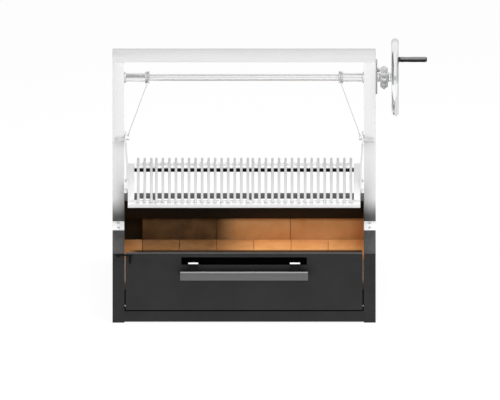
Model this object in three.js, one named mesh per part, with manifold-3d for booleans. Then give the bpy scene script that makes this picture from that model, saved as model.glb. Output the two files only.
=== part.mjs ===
// Built-in charcoal grill: a firebrick hearth with a drop door, under a grate that a hand wheel
// lifts on two cables. Millimetres, +Z up, +X to the hand wheel, -Y to the cook.
// The origin is the centre of the underside of the body.

import * as THREE from 'three';
import { mergeVertices } from 'three/addons/utils/BufferGeometryUtils.js';
import Module from 'manifold-3d';

const wasm = await Module();
wasm.setup();

// Body of sheet steel
const bodyWidth = 816;
const bodyDepth = 643;
const rimHeight = 224;
const sheet = 3;
const sideFlange = 37;
const rearFlangeDepth = 85;
const rearLipHeight = 57;
const postReturn = 19;
const panSetback = 12;
const railDepth = 22;
const railBottom = 3;
const railTop = 37;
const floorFront = 26;
const floorPlateTop = 66.5;
const rearCavity = 42;

// Clearances
const fitGap = 0.3;
const turnGap = 0.8;
const slideGap = 1.5;

// Fire bricks
const brickLength = 228.6;
const brickWidth = 114.3;
const brickThickness = 31.75;
const brickJoint = 1;
const brickJointDepth = 8;

// Drop door
const doorBottom = 41;
const doorTop = 223;
const doorDepth = 17;
const doorSideGap = 4;
const doorWall = 3;
const hingeHeight = 53;
const hingePinRadius = 3;
const hingePinBite = 7;
const slotEndInset = 4;
const slotBottom = 187;
const slotTop = 212;
const baffleSheet = 2;
const baffleBottom = 160;
const baffleSetback = 11;
const baffleOverlap = 12;

// Door handle
const handleLength = 397;
const handleHeight = 25;
const handleDepth = 14;
const handleStandoff = 21;
const handleBottom = 147;
const bracketInset = 40.8;
const bracketTabWidth = 32;
const bracketNeckWidth = 19;
const bracketTop = 193.5;
const bracketStock = 4;
const bracketInnerDrop = 18;
const bracketNeckBottom = 151;

// Door latch
const latchStock = 4;
const latchStandoff = 1;
const latchPivotInset = 13.7;
const latchPivotHeight = 212;
const latchBarHeight = 5;
const latchBarRise = 10;
const latchReach = 45.7;
const latchOverhang = 7.7;
const latchLegWidth = 7;
const latchLegDrop = 18.8;
const latchPivotRadius = 1.6;
const latchHeadRadius = 3.2;
const latchHeadHeight = 2;
const studInset = 18.3;
const studHeight = 209.7;
const studRadius = 1.8;
const studHeadRadius = 3.5;
const studHeadLength = 3;

// Stainless arch
const uprightWidth = 36.3;
const uprightDepth = 32;
const uprightFront = 328;
const tubeWall = 2;
const archRise = 89;
const crossbarHeight = 35;
const footThickness = 3;
const footOverhang = 85;
const footBoltInset = 18;
const footBoltRadius = 3;
const footBoltHeadRadius = 6;
const footBoltHeadHeight = 4;
const footBoltGrip = 8;

// Lift shaft and its bearings
const shaftHeight = 690;
const shaftRadius = 10.5;
const shaftLeftInset = 2;
const bearingFlangeRadius = 17;
const bearingFlangeThickness = 4.5;
const bearingBarrelRadius = 14;
const bearingNose = 7.5;

// Cable drums
const drumInset = 108;
const drumWidth = 13.5;
const drumFlangeRadius = 21;
const drumFlangeThickness = 1.1;
const sleeveRadius = 13.5;
const windingRadius = 17.5;
const windingPitch = 2.9;
const windingTurns = 3;
const cableRadius = 1.2;
const cableLift = 3;

// Star wheel, its plate and pawl
const ratchetPlateThickness = 5;
const ratchetPlateDepth = 84;
const ratchetPlateDrop = 49;
const ratchetPlateRise = 39.5;
const starOverhang = 26;
const starThickness = 24;
const starCoreRadius = 29;
const starTipRadius = 39;
const starTeeth = 12;
const starToothSeat = 27.5;
const starToothBase = 15;
const pawlPinBehindShaft = 57.9;
const pawlPinAboveShaft = 6.5;
const pawlPinRadius = 4;
const pawlPinSpacerRadius = 7;
const pawlPinHead = 3;
const pawlThickness = 10;
const pawlBossRadius = 7;
const pawlShoulder = 5.5;
const pawlLength = 29;
const pawlNose = 3.2;

// Hand wheel and grip
const wheelOverhang = 59.8;
const wheelDiameter = 242.4;
const rimRadius = 11.75;
const spokeCount = 3;
const spokeWidth = 24;
const spokeThickness = 8;
const spokeSink = 6;
const wheelHubRadius = 19;
const wheelHubLength = 17;
const collarRadius = 15;
const collarGap = 0.5;
const nutRadius = 15;
const nutLength = 3.2;
const gripAngleShare = 47.5 / 180;
const gripReach = 159;
const gripRadius = 8.35;
const gripWaist = 0.8;
const spindleRadius = 4;
const spindleBaseRadius = 8;
const spindleBaseLength = 4;
const spindleHeadLength = 3;
const spindleHeadRadius = 7;

// Grate carriage
const frameHeight = 333.4;
const frameThickness = 15;
const frameSideWidth = 20;
const frameRearDepth = 42;
const frameRearEnd = 550;
const frameFrontBarDepth = 20;
const frameFrontBarHeight = 7;
const ledgeThickness = 3.3;
const ledgeWidth = 20;
const ledgeFront = 127;
const ledgeOverlap = 12;
const plateThickness = 5;
const plateJoggle = 4.5;
const plateBendRise = 80;
const plateHeight = 171.6;
const plateHeadHeight = 22;
const plateHeadHalfDepth = 32;
const plateWebHalfDepth = 14;
const plateFootHalfDepth = 62;
const frameBoltInset = 14;
const frameBoltRadius = 3;
const frameBoltHeadRadius = 5;
const frameBoltHeadHeight = 4;
const frameBoltGrip = 4;
const eyeRadius = 6;
const eyeLength = 9;

// Guide rollers
const rollerDrop = 12;
const rollerRadius = 6;
const rollerLength = 28;
const axleRadius = 2.5;
const axleHeadRadius = 4.5;
const axleHeadLength = 4;

// Grate panels of round rods
const rodRadius = 4;
const rodSeamPitch = 15.6;
const leftRodCount = 3;
const middleRodCount = 15;
const rightRodCount = 16;
const leftRodMargin = 12.4;
const rightRodMargin = 9.45;
const rodFront = 136;
const rodFrontRise = 12.6;
const rodRearRise = 30.1;
const crossBarThickness = 6;
const crossBarRearInset = 24;
const crossBarFront = 180;

// Grease tray
const trayDepth = 53;
const trayFront = 115;
const trayLipHeight = 11.4;
const trayRearHeight = 4.2;
const traySheet = 1.5;

// Facets
const roundSides = 24;
const smallSides = 16;
const rodSides = 8;
const torusSides = 12;
const torusSteps = 48;
const cableSides = 6;
const turnSteps = 24;

// Derived places
const frontY = -bodyDepth / 2;
const rearY = bodyDepth / 2;
const halfWidth = bodyWidth / 2;
const wallInner = halfWidth - sheet;
const flangeInner = halfWidth - sideFlange;
const cavityHalf = wallInner - brickThickness - 2 * fitGap;
const uprightInner = halfWidth - uprightWidth;
const footTop = rimHeight + footThickness;
const archTop = shaftHeight + archRise;
const crossbarBottom = archTop - crossbarHeight;
const shaftY = frontY + uprightFront + uprightDepth / 2;
const shaftBore = shaftRadius + turnGap;
const fixedBore = shaftRadius + fitGap;
const plateInnerX = uprightInner - slideGap;
const footOuter = plateInnerX - plateJoggle;
const footFace = footOuter - plateThickness;
const frameOuter = footFace - fitGap;
const frameInner = frameOuter - frameSideWidth;
const frameTop = frameHeight + frameThickness;
const rodRear = frameRearEnd;
const crossBarRear = frameRearEnd - crossBarRearInset;
const rodFrontHeight = frameHeight + rodFrontRise;
const rodRearHeight = frameHeight + rodRearRise;
const plateTop = frameHeight + plateHeight;
const rollerHeight = plateTop - rollerDrop;
const eyeHeight = plateTop - eyeRadius;
const cableFront = windingRadius + cableLift;
const doorHalf = flangeInner - doorSideGap;
const slotHalfWidth = handleLength / 2 - slotEndInset;
const latchPivotX = latchPivotInset - doorHalf;
const studX = studInset - halfWidth;
const drumX = halfWidth - drumInset;
const starX = halfWidth + starOverhang;
const wheelX = halfWidth + wheelOverhang;
const gripEndX = halfWidth + gripReach;
const rodSpan = 2 * frameInner - leftRodMargin - rightRodMargin;
const rodPitchCount = leftRodCount + middleRodCount + rightRodCount - 3;
const rodPitch = (rodSpan - 2 * rodSeamPitch) / rodPitchCount;
const slotOverrun = 5 * sheet;

// Solid helpers

// A box between two corners, given as a low and a high value along each axis
function block([x0, x1], [y0, y1], [z0, z1]) {
  const geometry = new THREE.BoxGeometry(x1 - x0, y1 - y0, z1 - z0);
  geometry.translate((x0 + x1) / 2, (y0 + y1) / 2, (z0 + z1) / 2);
  return geometry;
}

// A low and a high place along X, given as distances from the middle plane on one side
function spanOnSide(side, near, far) {
  return side > 0 ? [near, far] : [-far, -near];
}

function sideBlock(side, [near, far], depths, heights) {
  return block(spanOnSide(side, near, far), depths, heights);
}

// A low and a high depth, measured back from the front of the body
function depthSpan(near, far) {
  return [frontY + near, frontY + far];
}

// A round bar along X between two places
function barAlongX(radius, [x0, x1], y, z, sides) {
  const geometry = new THREE.CylinderGeometry(radius, radius, x1 - x0, sides);
  geometry.rotateZ(-Math.PI / 2);
  geometry.translate((x0 + x1) / 2, y, z);
  return geometry;
}

// A round bar along Y
function barAlongY(radius, x, [y0, y1], z, sides) {
  const geometry = new THREE.CylinderGeometry(radius, radius, y1 - y0, sides);
  geometry.translate(x, (y0 + y1) / 2, z);
  return geometry;
}

// A round bar along Z
function barAlongZ(radius, x, y, [z0, z1], sides) {
  const geometry = new THREE.CylinderGeometry(radius, radius, z1 - z0, sides);
  geometry.rotateX(Math.PI / 2);
  geometry.translate(x, y, (z0 + z1) / 2);
  return geometry;
}

// A turned piece about X: each point is a radius and a place along X, and the profile closes on itself
function turnedAlongX(points, sides, side = 1) {
  const profile = points.map(([radius, x]) => new THREE.Vector2(radius, x));
  if (points[0][0] > 0) {
    profile.push(profile[0].clone());
  }
  const geometry = new THREE.LatheGeometry(profile, sides);
  geometry.rotateZ(-Math.PI / 2);
  if (side < 0) {
    geometry.rotateY(Math.PI);
  }
  return geometry;
}

// An outline of points in the plane of Y and Z, pushed along X
function outlineAlongX(shape, [x0, x1]) {
  const geometry = new THREE.ExtrudeGeometry(shape, { depth: x1 - x0, bevelEnabled: false });
  geometry.rotateX(Math.PI / 2);
  geometry.rotateZ(Math.PI / 2);
  geometry.translate(x0, 0, 0);
  return geometry;
}

// An outline of points in the plane of X and Z, pushed along Y
function outlineAlongY(shape, [y0, y1]) {
  const geometry = new THREE.ExtrudeGeometry(shape, { depth: y1 - y0, bevelEnabled: false });
  geometry.rotateX(Math.PI / 2);
  geometry.translate(0, y1, 0);
  return geometry;
}

function polygon(points) {
  return new THREE.Shape(points.map(([y, z]) => new THREE.Vector2(y, z)));
}

function toSolid(geometry) {
  const bare = geometry.clone();
  bare.deleteAttribute('normal');
  bare.deleteAttribute('uv');
  const welded = mergeVertices(bare);
  return new wasm.Manifold(new wasm.Mesh({
    numProp: 3,
    vertProperties: new Float32Array(welded.attributes.position.array),
    triVerts: new Uint32Array(welded.index.array),
  }));
}

function toGeometry(solid) {
  const mesh = solid.getMesh();
  const geometry = new THREE.BufferGeometry();
  geometry.setAttribute('position', new THREE.BufferAttribute(new Float32Array(mesh.vertProperties), 3));
  geometry.setIndex(new THREE.BufferAttribute(new Uint32Array(mesh.triVerts), 1));
  geometry.computeVertexNormals();
  return geometry;
}

function join(pieces) {
  const solids = pieces.map(toSolid);
  return toGeometry(solids.reduce((sum, solid) => sum.add(solid)));
}

function cut(base, tools) {
  return toGeometry(tools.map(toSolid).reduce((rest, tool) => rest.subtract(tool), toSolid(base)));
}

// Finishes
const finishes = {
  paint: { color: 0x353536, roughness: 0.55, metalness: 0.2 },
  liner: { color: 0x1c1a18, roughness: 0.8, metalness: 0.2 },
  brick: { color: 0xd08a55, roughness: 0.95, metalness: 0 },
  stainless: { color: 0xe6e7e8, roughness: 0.28, metalness: 1 },
  rod: { color: 0xcfd0d1, roughness: 0.3, metalness: 1 },
  chrome: { color: 0xf0f0f2, roughness: 0.08, metalness: 1 },
  handle: { color: 0x6a6a6b, roughness: 0.4, metalness: 0.7 },
  zinc: { color: 0xb8b9bb, roughness: 0.4, metalness: 1 },
  grip: { color: 0x2b2b2c, roughness: 0.45, metalness: 0 },
};

function piece(parent, name, geometry, finish) {
  const mesh = new THREE.Mesh(geometry, new THREE.MeshStandardMaterial(finishes[finish]));
  mesh.name = name;
  parent.add(mesh);
  return mesh;
}

const sides = [['left', -1], ['right', 1]];
const grill = new THREE.Group();

// Body

function footBoltPlaces() {
  const places = [];
  const front = uprightFront - footOverhang;
  const rear = uprightFront + uprightDepth + footOverhang;
  for (const depth of [front + footBoltInset, uprightFront - footBoltInset]) {
    places.push(depth);
    places.push(front + rear - depth);
  }
  return places;
}

function footBoltX(side) {
  return side * (halfWidth - uprightWidth / 2);
}

function addBody() {
  const body = new THREE.Group();
  grill.add(body);
  const rearFlangeFront = bodyDepth - rearFlangeDepth;
  const flangeBase = rimHeight - sheet;

  piece(body, 'bottom_pan', block(
    [-wallInner, wallInner], depthSpan(panSetback, bodyDepth - sheet), [0, sheet],
  ), 'paint');

  for (const [label, side] of sides) {
    const wall = sideBlock(side, [wallInner, halfWidth], depthSpan(sheet, bodyDepth), [0, flangeBase]);
    const flange = sideBlock(
      side, [flangeInner, halfWidth], depthSpan(0, rearFlangeFront), [flangeBase, rimHeight],
    );
    const holes = footBoltPlaces().map((depth) => barAlongZ(
      footBoltRadius + fitGap, footBoltX(side), frontY + depth,
      [flangeBase - sheet, rimHeight + sheet], smallSides,
    ));
    // The wall is raised into the flange by half its sheet so that the two are one fold
    const lappedWall = sideBlock(
      side, [wallInner, halfWidth], depthSpan(sheet, rearFlangeFront), [0, rimHeight - sheet / 2],
    );
    piece(body, `${label}_side_panel`, cut(join([wall, lappedWall, flange]), holes), 'paint');

    const face = sideBlock(side, [flangeInner, halfWidth], depthSpan(0, sheet), [0, flangeBase]);
    const fold = sideBlock(
      side, [flangeInner, flangeInner + sheet], depthSpan(0, sheet + postReturn), [sheet, flangeBase],
    );
    const post = [face, fold];
    if (side < 0) {
      // The headed stud that the latch drops behind is welded to the left post
      const neckEnd = frontY - latchStandoff - latchStock - fitGap;
      const headEnd = neckEnd - studHeadLength;
      post.push(barAlongY(studRadius, studX, [headEnd, frontY + sheet / 2], studHeight, smallSides));
      post.push(barAlongY(studHeadRadius, studX, [headEnd, neckEnd], studHeight, smallSides));
    }
    piece(body, `${label}_front_post`, join(post), 'paint');
  }

  const rail = block([-flangeInner, flangeInner], depthSpan(0, railDepth), [railBottom, railTop]);
  const railHollow = block(
    [-halfWidth, halfWidth], depthSpan(sheet, bodyDepth), [railBottom + sheet, railTop - sheet],
  );
  const panReliefDepths = depthSpan(panSetback - fitGap, bodyDepth);
  const panRelief = block([-halfWidth, halfWidth], panReliefDepths, [0, railBottom + fitGap]);
  piece(body, 'front_rail', cut(rail, [railHollow, panRelief]), 'paint');

  piece(body, 'back_panel', block(
    [-wallInner, wallInner], depthSpan(bodyDepth - sheet, bodyDepth), [0, flangeBase],
  ), 'paint');

  const rearDepths = depthSpan(rearFlangeFront, bodyDepth);
  const rearTop = block([-halfWidth, halfWidth], rearDepths, [flangeBase, rimHeight]);
  const rearLip = block(
    [-cavityHalf, cavityHalf], depthSpan(rearFlangeFront, rearFlangeFront + sheet),
    [rimHeight - rearLipHeight, rimHeight - sheet / 2],
  );
  piece(body, 'rear_flange', join([rearTop, rearLip]), 'paint');
}

// Firebrick lining

const linerRear = bodyDepth - sheet - rearCavity;
const linerFront = linerRear - sheet;
const rearBrickFace = linerFront - brickThickness;
const floorRear = rearBrickFace - brickJoint;
const rearBrickCount = Math.floor((2 * cavityHalf + brickJoint) / (brickLength + brickJoint));
const rearBricksLeft = cavityHalf - rearBrickCount * brickLength - (rearBrickCount - 1) * brickJoint;

// Low and high depths of rows of bricks, laid from the rear with the last one cut
function brickRows(front, rear) {
  const rows = [];
  for (let far = rear; far - front > brickJoint; far -= brickLength + brickJoint) {
    rows.push([Math.max(far - brickLength, front), far]);
  }
  return rows;
}

// Low and high places of the floor columns: whole ones from the left end of the rear bricks on,
// cut ones at the walls
function floorColumns() {
  const columns = [];
  for (let right = rearBricksLeft - brickJoint; right > -cavityHalf; right -= brickWidth + brickJoint) {
    columns.unshift([Math.max(right - brickWidth, -cavityHalf), right]);
  }
  for (let left = rearBricksLeft; left < cavityHalf; left += brickWidth + brickJoint) {
    columns.push([left, Math.min(left + brickWidth, cavityHalf)]);
  }
  return columns;
}

function addHearth() {
  const hearth = new THREE.Group();
  grill.add(hearth);
  const brickSeat = floorPlateTop;
  const floorStart = floorFront + sheet;

  const plate = block(
    [-wallInner, wallInner], depthSpan(floorFront, linerRear), [floorPlateTop - sheet, floorPlateTop],
  );
  const skirt = block([-wallInner, wallInner], depthSpan(floorFront, floorStart), [sheet, floorPlateTop]);
  piece(hearth, 'floor_plate', join([plate, skirt]), 'liner');

  piece(hearth, 'rear_liner', block(
    [-wallInner, wallInner], depthSpan(linerFront, linerRear), [floorPlateTop, rimHeight - sheet],
  ), 'liner');

  // In each course the mortar fills the joints to within a little of the face
  const floorTop = brickSeat + brickThickness;
  const floor = [block(
    [-cavityHalf, cavityHalf], depthSpan(floorStart, floorRear), [brickSeat, floorTop - brickJointDepth],
  )];
  for (const depths of brickRows(floorStart, floorRear)) {
    for (const column of floorColumns()) {
      floor.push(block(column, depthSpan(...depths), [brickSeat, floorTop]));
    }
  }
  piece(hearth, 'floor_bricks', join(floor), 'brick');

  const wallTop = brickSeat + brickWidth;
  const rear = [block(
    [rearBricksLeft, cavityHalf], depthSpan(rearBrickFace + brickJointDepth, linerFront),
    [brickSeat, wallTop - brickJointDepth],
  )];
  for (let count = 0; count < rearBrickCount; count += 1) {
    const left = rearBricksLeft + count * (brickLength + brickJoint);
    const span = [left, left + brickLength];
    rear.push(block(span, depthSpan(rearBrickFace, linerFront), [brickSeat, wallTop]));
  }
  piece(hearth, 'rear_bricks', join(rear), 'brick');

  const sideNear = cavityHalf + fitGap;
  const sideFar = sideNear + brickThickness;
  for (const [label, side] of sides) {
    const wall = [sideBlock(
      side, [sideNear + brickJointDepth, sideFar], depthSpan(floorStart, linerFront),
      [brickSeat, wallTop - brickJointDepth],
    )];
    for (const depths of brickRows(floorStart, linerFront)) {
      wall.push(sideBlock(side, [sideNear, sideFar], depthSpan(...depths), [brickSeat, wallTop]));
    }
    piece(hearth, `${label}_bricks`, join(wall), 'brick');
  }
}

// Door, drawn about its hinge line

const hingeDepth = doorDepth / 2;
const hingeY = frontY + hingeDepth;

function doorDepths(near, far) {
  return [near - hingeDepth, far - hingeDepth];
}

function doorHeights(low, high) {
  return [low - hingeHeight, high - hingeHeight];
}

function addDoor() {
  const door = new THREE.Group();
  door.position.set(0, hingeY, hingeHeight);
  grill.add(door);

  const shell = block([-doorHalf, doorHalf], doorDepths(0, doorDepth), doorHeights(doorBottom, doorTop));
  const inside = block(
    [doorWall - doorHalf, doorHalf - doorWall],
    doorDepths(doorWall, doorDepth + slotOverrun),
    doorHeights(doorBottom + doorWall, doorTop - doorWall),
  );
  const slot = block(
    [-slotHalfWidth, slotHalfWidth], doorDepths(-slotOverrun, doorDepth), doorHeights(slotBottom, slotTop),
  );
  const pinHoles = barAlongX(hingePinRadius + turnGap, [-halfWidth, halfWidth], 0, 0, smallSides);
  const pivotHole = barAlongY(
    latchPivotRadius + fitGap, latchPivotX, doorDepths(-slotOverrun, doorDepth),
    latchPivotHeight - hingeHeight, smallSides,
  );
  piece(door, 'door_panel', cut(shell, [inside, slot, pinHoles, pivotHole]), 'paint');

  const baffleHalf = slotHalfWidth + baffleOverlap;
  piece(door, 'vent_baffle', block(
    [-baffleHalf, baffleHalf],
    doorDepths(baffleSetback, baffleSetback + baffleSheet),
    doorHeights(baffleBottom, doorTop - doorWall),
  ), 'liner');

  const barFront = -handleStandoff - handleDepth;
  piece(door, 'handle_bar', block(
    [-handleLength / 2, handleLength / 2],
    doorDepths(barFront, -handleStandoff),
    doorHeights(handleBottom, handleBottom + handleHeight),
  ), 'handle');

  for (const [label, side] of sides) {
    const x = side * (handleLength / 2 - bracketInset);
    const tab = [x - bracketTabWidth / 2, x + bracketTabWidth / 2];
    const neck = [x - bracketNeckWidth / 2, x + bracketNeckWidth / 2];
    const legFront = doorWall + fitGap;
    const tabBottom = slotBottom + fitGap;
    const legBottom = slotBottom - bracketInnerDrop;
    const legDepths = doorDepths(legFront, legFront + bracketStock);
    const neckDepths = doorDepths(-handleStandoff, bracketStock - handleStandoff);
    const tabDepths = doorDepths(-handleStandoff, legFront + bracketStock);
    piece(door, `${label}_handle_bracket`, join([
      block(tab, tabDepths, doorHeights(tabBottom, bracketTop)),
      block(tab, legDepths, doorHeights(legBottom, bracketTop)),
      block(neck, neckDepths, doorHeights(bracketNeckBottom, bracketTop)),
    ]), 'handle');
  }

  const shankEnd = doorWall + latchStock;
  const leverFront = -latchStandoff - latchStock;
  const headBase = leverFront - fitGap;
  const pivotLocal = latchPivotHeight - hingeHeight;
  const shankDepths = doorDepths(headBase - sheet / 2, shankEnd);
  const headDepths = doorDepths(headBase - latchHeadHeight, headBase);
  piece(door, 'latch_pivot', join([
    barAlongY(latchPivotRadius, latchPivotX, shankDepths, pivotLocal, smallSides),
    barAlongY(latchHeadRadius, latchPivotX, headDepths, pivotLocal, smallSides),
  ]), 'zinc');

  addLatch(door, leverFront, pivotLocal);
}

// Latch lever: a thin bar from the door to the post, with a tongue for the stud and a leg to lift it by
function addLatch(door, leverFront, pivotLocal) {
  const lever = new THREE.Group();
  lever.position.set(latchPivotX, 0, pivotLocal);
  door.add(lever);
  const depths = doorDepths(leverFront, -latchStandoff);
  const barBottom = latchBarRise - latchBarHeight;
  const bar = block([-latchReach, latchOverhang], depths, [barBottom, latchBarRise]);
  const leg = block([-latchLegWidth / 2, latchLegWidth / 2], depths, [-latchLegDrop, latchBarRise]);
  const tongueX = studX - latchPivotX;
  const tongueBottom = studHeight + studRadius + fitGap - latchPivotHeight;
  const tongue = block(
    [tongueX - studHeadRadius, tongueX + studHeadRadius], depths, [tongueBottom, latchBarRise],
  );
  const hole = barAlongY(
    latchPivotRadius + turnGap, 0, [depths[0] - latchStock, depths[1] + latchStock], 0, smallSides,
  );
  piece(lever, 'latch_lever', cut(join([bar, leg, tongue]), [hole]), 'paint');
}

function addDoorFixings() {
  const fixings = new THREE.Group();
  grill.add(fixings);
  for (const [label, side] of sides) {
    const span = spanOnSide(side, doorHalf - hingePinBite, flangeInner);
    const pin = barAlongX(hingePinRadius, span, hingeY, hingeHeight, smallSides);
    piece(fixings, `${label}_hinge_pin`, pin, 'zinc');
  }
}

// Arch

function addArch() {
  const arch = new THREE.Group();
  grill.add(arch);
  const depths = depthSpan(uprightFront, uprightFront + uprightDepth);
  const innerDepths = [depths[0] + tubeWall, depths[1] - tubeWall];
  const overrun = sheet;

  for (const [label, side] of sides) {
    const span = [uprightInner, halfWidth];
    const innerSpan = [uprightInner + tubeWall, halfWidth - tubeWall];
    const tube = sideBlock(side, span, depths, [footTop, crossbarBottom]);
    const hollow = sideBlock(side, innerSpan, innerDepths, [footTop - overrun, crossbarBottom + overrun]);
    // The right tube is drilled through; the left one only on its inner wall,
    // because the shaft ends inside it
    const drillEnd = side > 0 ? halfWidth + overrun : halfWidth - tubeWall - fitGap;
    const bearingHole = barAlongX(
      bearingBarrelRadius + fitGap, spanOnSide(side, uprightInner - overrun, drillEnd),
      shaftY, shaftHeight, roundSides,
    );
    piece(arch, `${label}_upright`, cut(tube, [hollow, bearingHole]), 'stainless');

    const footDepths = depthSpan(
      uprightFront - footOverhang, uprightFront + uprightDepth + footOverhang,
    );
    const plate = sideBlock(side, span, footDepths, [rimHeight, footTop]);
    // Each foot plate is one piece with its four bolts
    const x = footBoltX(side);
    const foot = [plate];
    for (const depth of footBoltPlaces()) {
      const y = frontY + depth;
      foot.push(barAlongZ(footBoltRadius, x, y, [footTop - footBoltGrip, footTop], smallSides));
      foot.push(barAlongZ(
        footBoltHeadRadius, x, y, [footTop - fitGap, footTop + footBoltHeadHeight], smallSides,
      ));
    }
    piece(arch, `${label}_foot_plate`, join(foot), 'stainless');
  }

  const beam = block([-halfWidth, halfWidth], depths, [crossbarBottom, archTop]);
  const hollowSpan = [tubeWall - halfWidth, halfWidth - tubeWall];
  const hollowHeights = [crossbarBottom + tubeWall, archTop - tubeWall];
  const beamHollow = block(hollowSpan, innerDepths, hollowHeights);
  const sockets = sides.map(([, side]) => sideBlock(
    side, [uprightInner + tubeWall, halfWidth - tubeWall], innerDepths,
    [crossbarBottom - overrun, crossbarBottom + crossbarHeight / 2],
  ));
  piece(arch, 'top_crossbar', cut(beam, [beamHollow, ...sockets]), 'stainless');
}

function addBearingsAndPlate() {
  const fixed = new THREE.Group();
  fixed.position.set(0, shaftY, shaftHeight);
  grill.add(fixed);
  const flangeFace = uprightInner - bearingFlangeThickness;
  const plateOuter = halfWidth + ratchetPlateThickness;
  const barrelEnds = [halfWidth - 2 * tubeWall, plateOuter + bearingNose];
  sides.forEach(([label, side], index) => {
    piece(fixed, `${label}_bearing`, turnedAlongX([
      [shaftBore, flangeFace],
      [bearingFlangeRadius, flangeFace],
      [bearingFlangeRadius, uprightInner - fitGap],
      [bearingBarrelRadius, uprightInner - fitGap],
      [bearingBarrelRadius, barrelEnds[index]],
      [shaftBore, barrelEnds[index]],
    ], roundSides, side), 'zinc');
  });

  const plateFront = -uprightDepth / 2;
  const plate = block(
    [halfWidth, plateOuter], [plateFront, plateFront + ratchetPlateDepth],
    [-ratchetPlateDrop, ratchetPlateRise],
  );
  const hole = barAlongX(
    bearingBarrelRadius + fitGap, [halfWidth - sheet, plateOuter + sheet], 0, 0, roundSides,
  );
  piece(fixed, 'ratchet_plate', cut(plate, [hole]), 'stainless');

  const pawlNear = starX - pawlThickness / 2;
  const pawlFar = starX + pawlThickness / 2;
  const pin = turnedAlongX([
    [0, plateOuter],
    [pawlPinSpacerRadius, plateOuter],
    [pawlPinSpacerRadius, pawlNear - fitGap],
    [pawlPinRadius, pawlNear - fitGap],
    [pawlPinRadius, pawlFar + fitGap],
    [pawlPinSpacerRadius, pawlFar + fitGap],
    [pawlPinSpacerRadius, pawlFar + fitGap + pawlPinHead],
    [0, pawlFar + fitGap + pawlPinHead],
  ], smallSides);
  piece(fixed, 'pawl_pin', pin, 'zinc').position.set(0, pawlPinBehindShaft, pawlPinAboveShaft);

  addPawl(fixed, [pawlNear, pawlFar]);
}

// The pawl hangs plumb from its pin, clear of the star wheel
function addPawl(fixed, span) {
  const outline = new THREE.Shape();
  outline.moveTo(-pawlNose / 2, -pawlLength);
  outline.lineTo(pawlNose / 2, -pawlLength);
  outline.lineTo(pawlShoulder, 0);
  outline.lineTo(pawlBossRadius, 0);
  outline.absarc(0, 0, pawlBossRadius, 0, Math.PI, false);
  outline.lineTo(-pawlShoulder, 0);
  const hole = barAlongX(
    pawlPinRadius + turnGap, [span[0] - sheet, span[1] + sheet], 0, 0, smallSides,
  );
  const pawl = cut(outlineAlongX(outline, span), [hole]);
  piece(fixed, 'pawl', pawl, 'zinc').position.set(0, pawlPinBehindShaft, pawlPinAboveShaft);
}

// Lift shaft, drums and hand wheel, drawn about the shaft's axis

// Cable wound on a drum, from its outer end to the point where it leaves down the front.
// Over the last half turn it climbs onto its neighbour.
class Winding extends THREE.Curve {
  constructor(side) {
    super();
    this.side = side;
  }

  getPoint(share, target = new THREE.Vector3()) {
    const turn = share * windingTurns;
    const climb = THREE.MathUtils.smoothstep(turn, windingTurns - 1 / 2, windingTurns);
    const radius = windingRadius + cableLift * climb;
    const angle = Math.PI + 2 * Math.PI * turn;
    const along = drumX + windingPitch * (windingTurns / 2 - turn);
    return target.set(this.side * along, radius * Math.cos(angle), radius * Math.sin(angle));
  }
}

// Least distance between the surfaces of parts of a winding that lie a half turn or more apart
function leastGap(curve) {
  const points = curve.getPoints(turnSteps * windingTurns);
  let least = Infinity;
  for (let i = 0; i < points.length; i += 1) {
    for (let j = i + turnSteps / 2; j < points.length; j += 1) {
      least = Math.min(least, points[i].distanceTo(points[j]));
    }
  }
  return least - 2 * cableRadius;
}

function roundSection(radius, count) {
  const points = [];
  for (let i = 0; i < count; i += 1) {
    const angle = 2 * Math.PI * i / count;
    points.push(new THREE.Vector2(radius * Math.cos(angle), radius * Math.sin(angle)));
  }
  return new THREE.Shape(points);
}

function tubeAlong(curve, radius, steps) {
  return new THREE.ExtrudeGeometry(roundSection(radius, cableSides), {
    steps, extrudePath: curve, bevelEnabled: false,
  });
}

function drumProfile() {
  const near = drumX - drumWidth / 2;
  const far = drumX + drumWidth / 2;
  const core = windingRadius - cableRadius - fitGap;
  const sleeveEnd = uprightInner - bearingFlangeThickness - fitGap;
  return [
    [fixedBore, near],
    [drumFlangeRadius, near],
    [drumFlangeRadius, near + drumFlangeThickness],
    [core, near + drumFlangeThickness],
    [core, far - drumFlangeThickness],
    [drumFlangeRadius, far - drumFlangeThickness],
    [drumFlangeRadius, far],
    [sleeveRadius, far],
    [sleeveRadius, sleeveEnd],
    [fixedBore, sleeveEnd],
  ];
}

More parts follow.
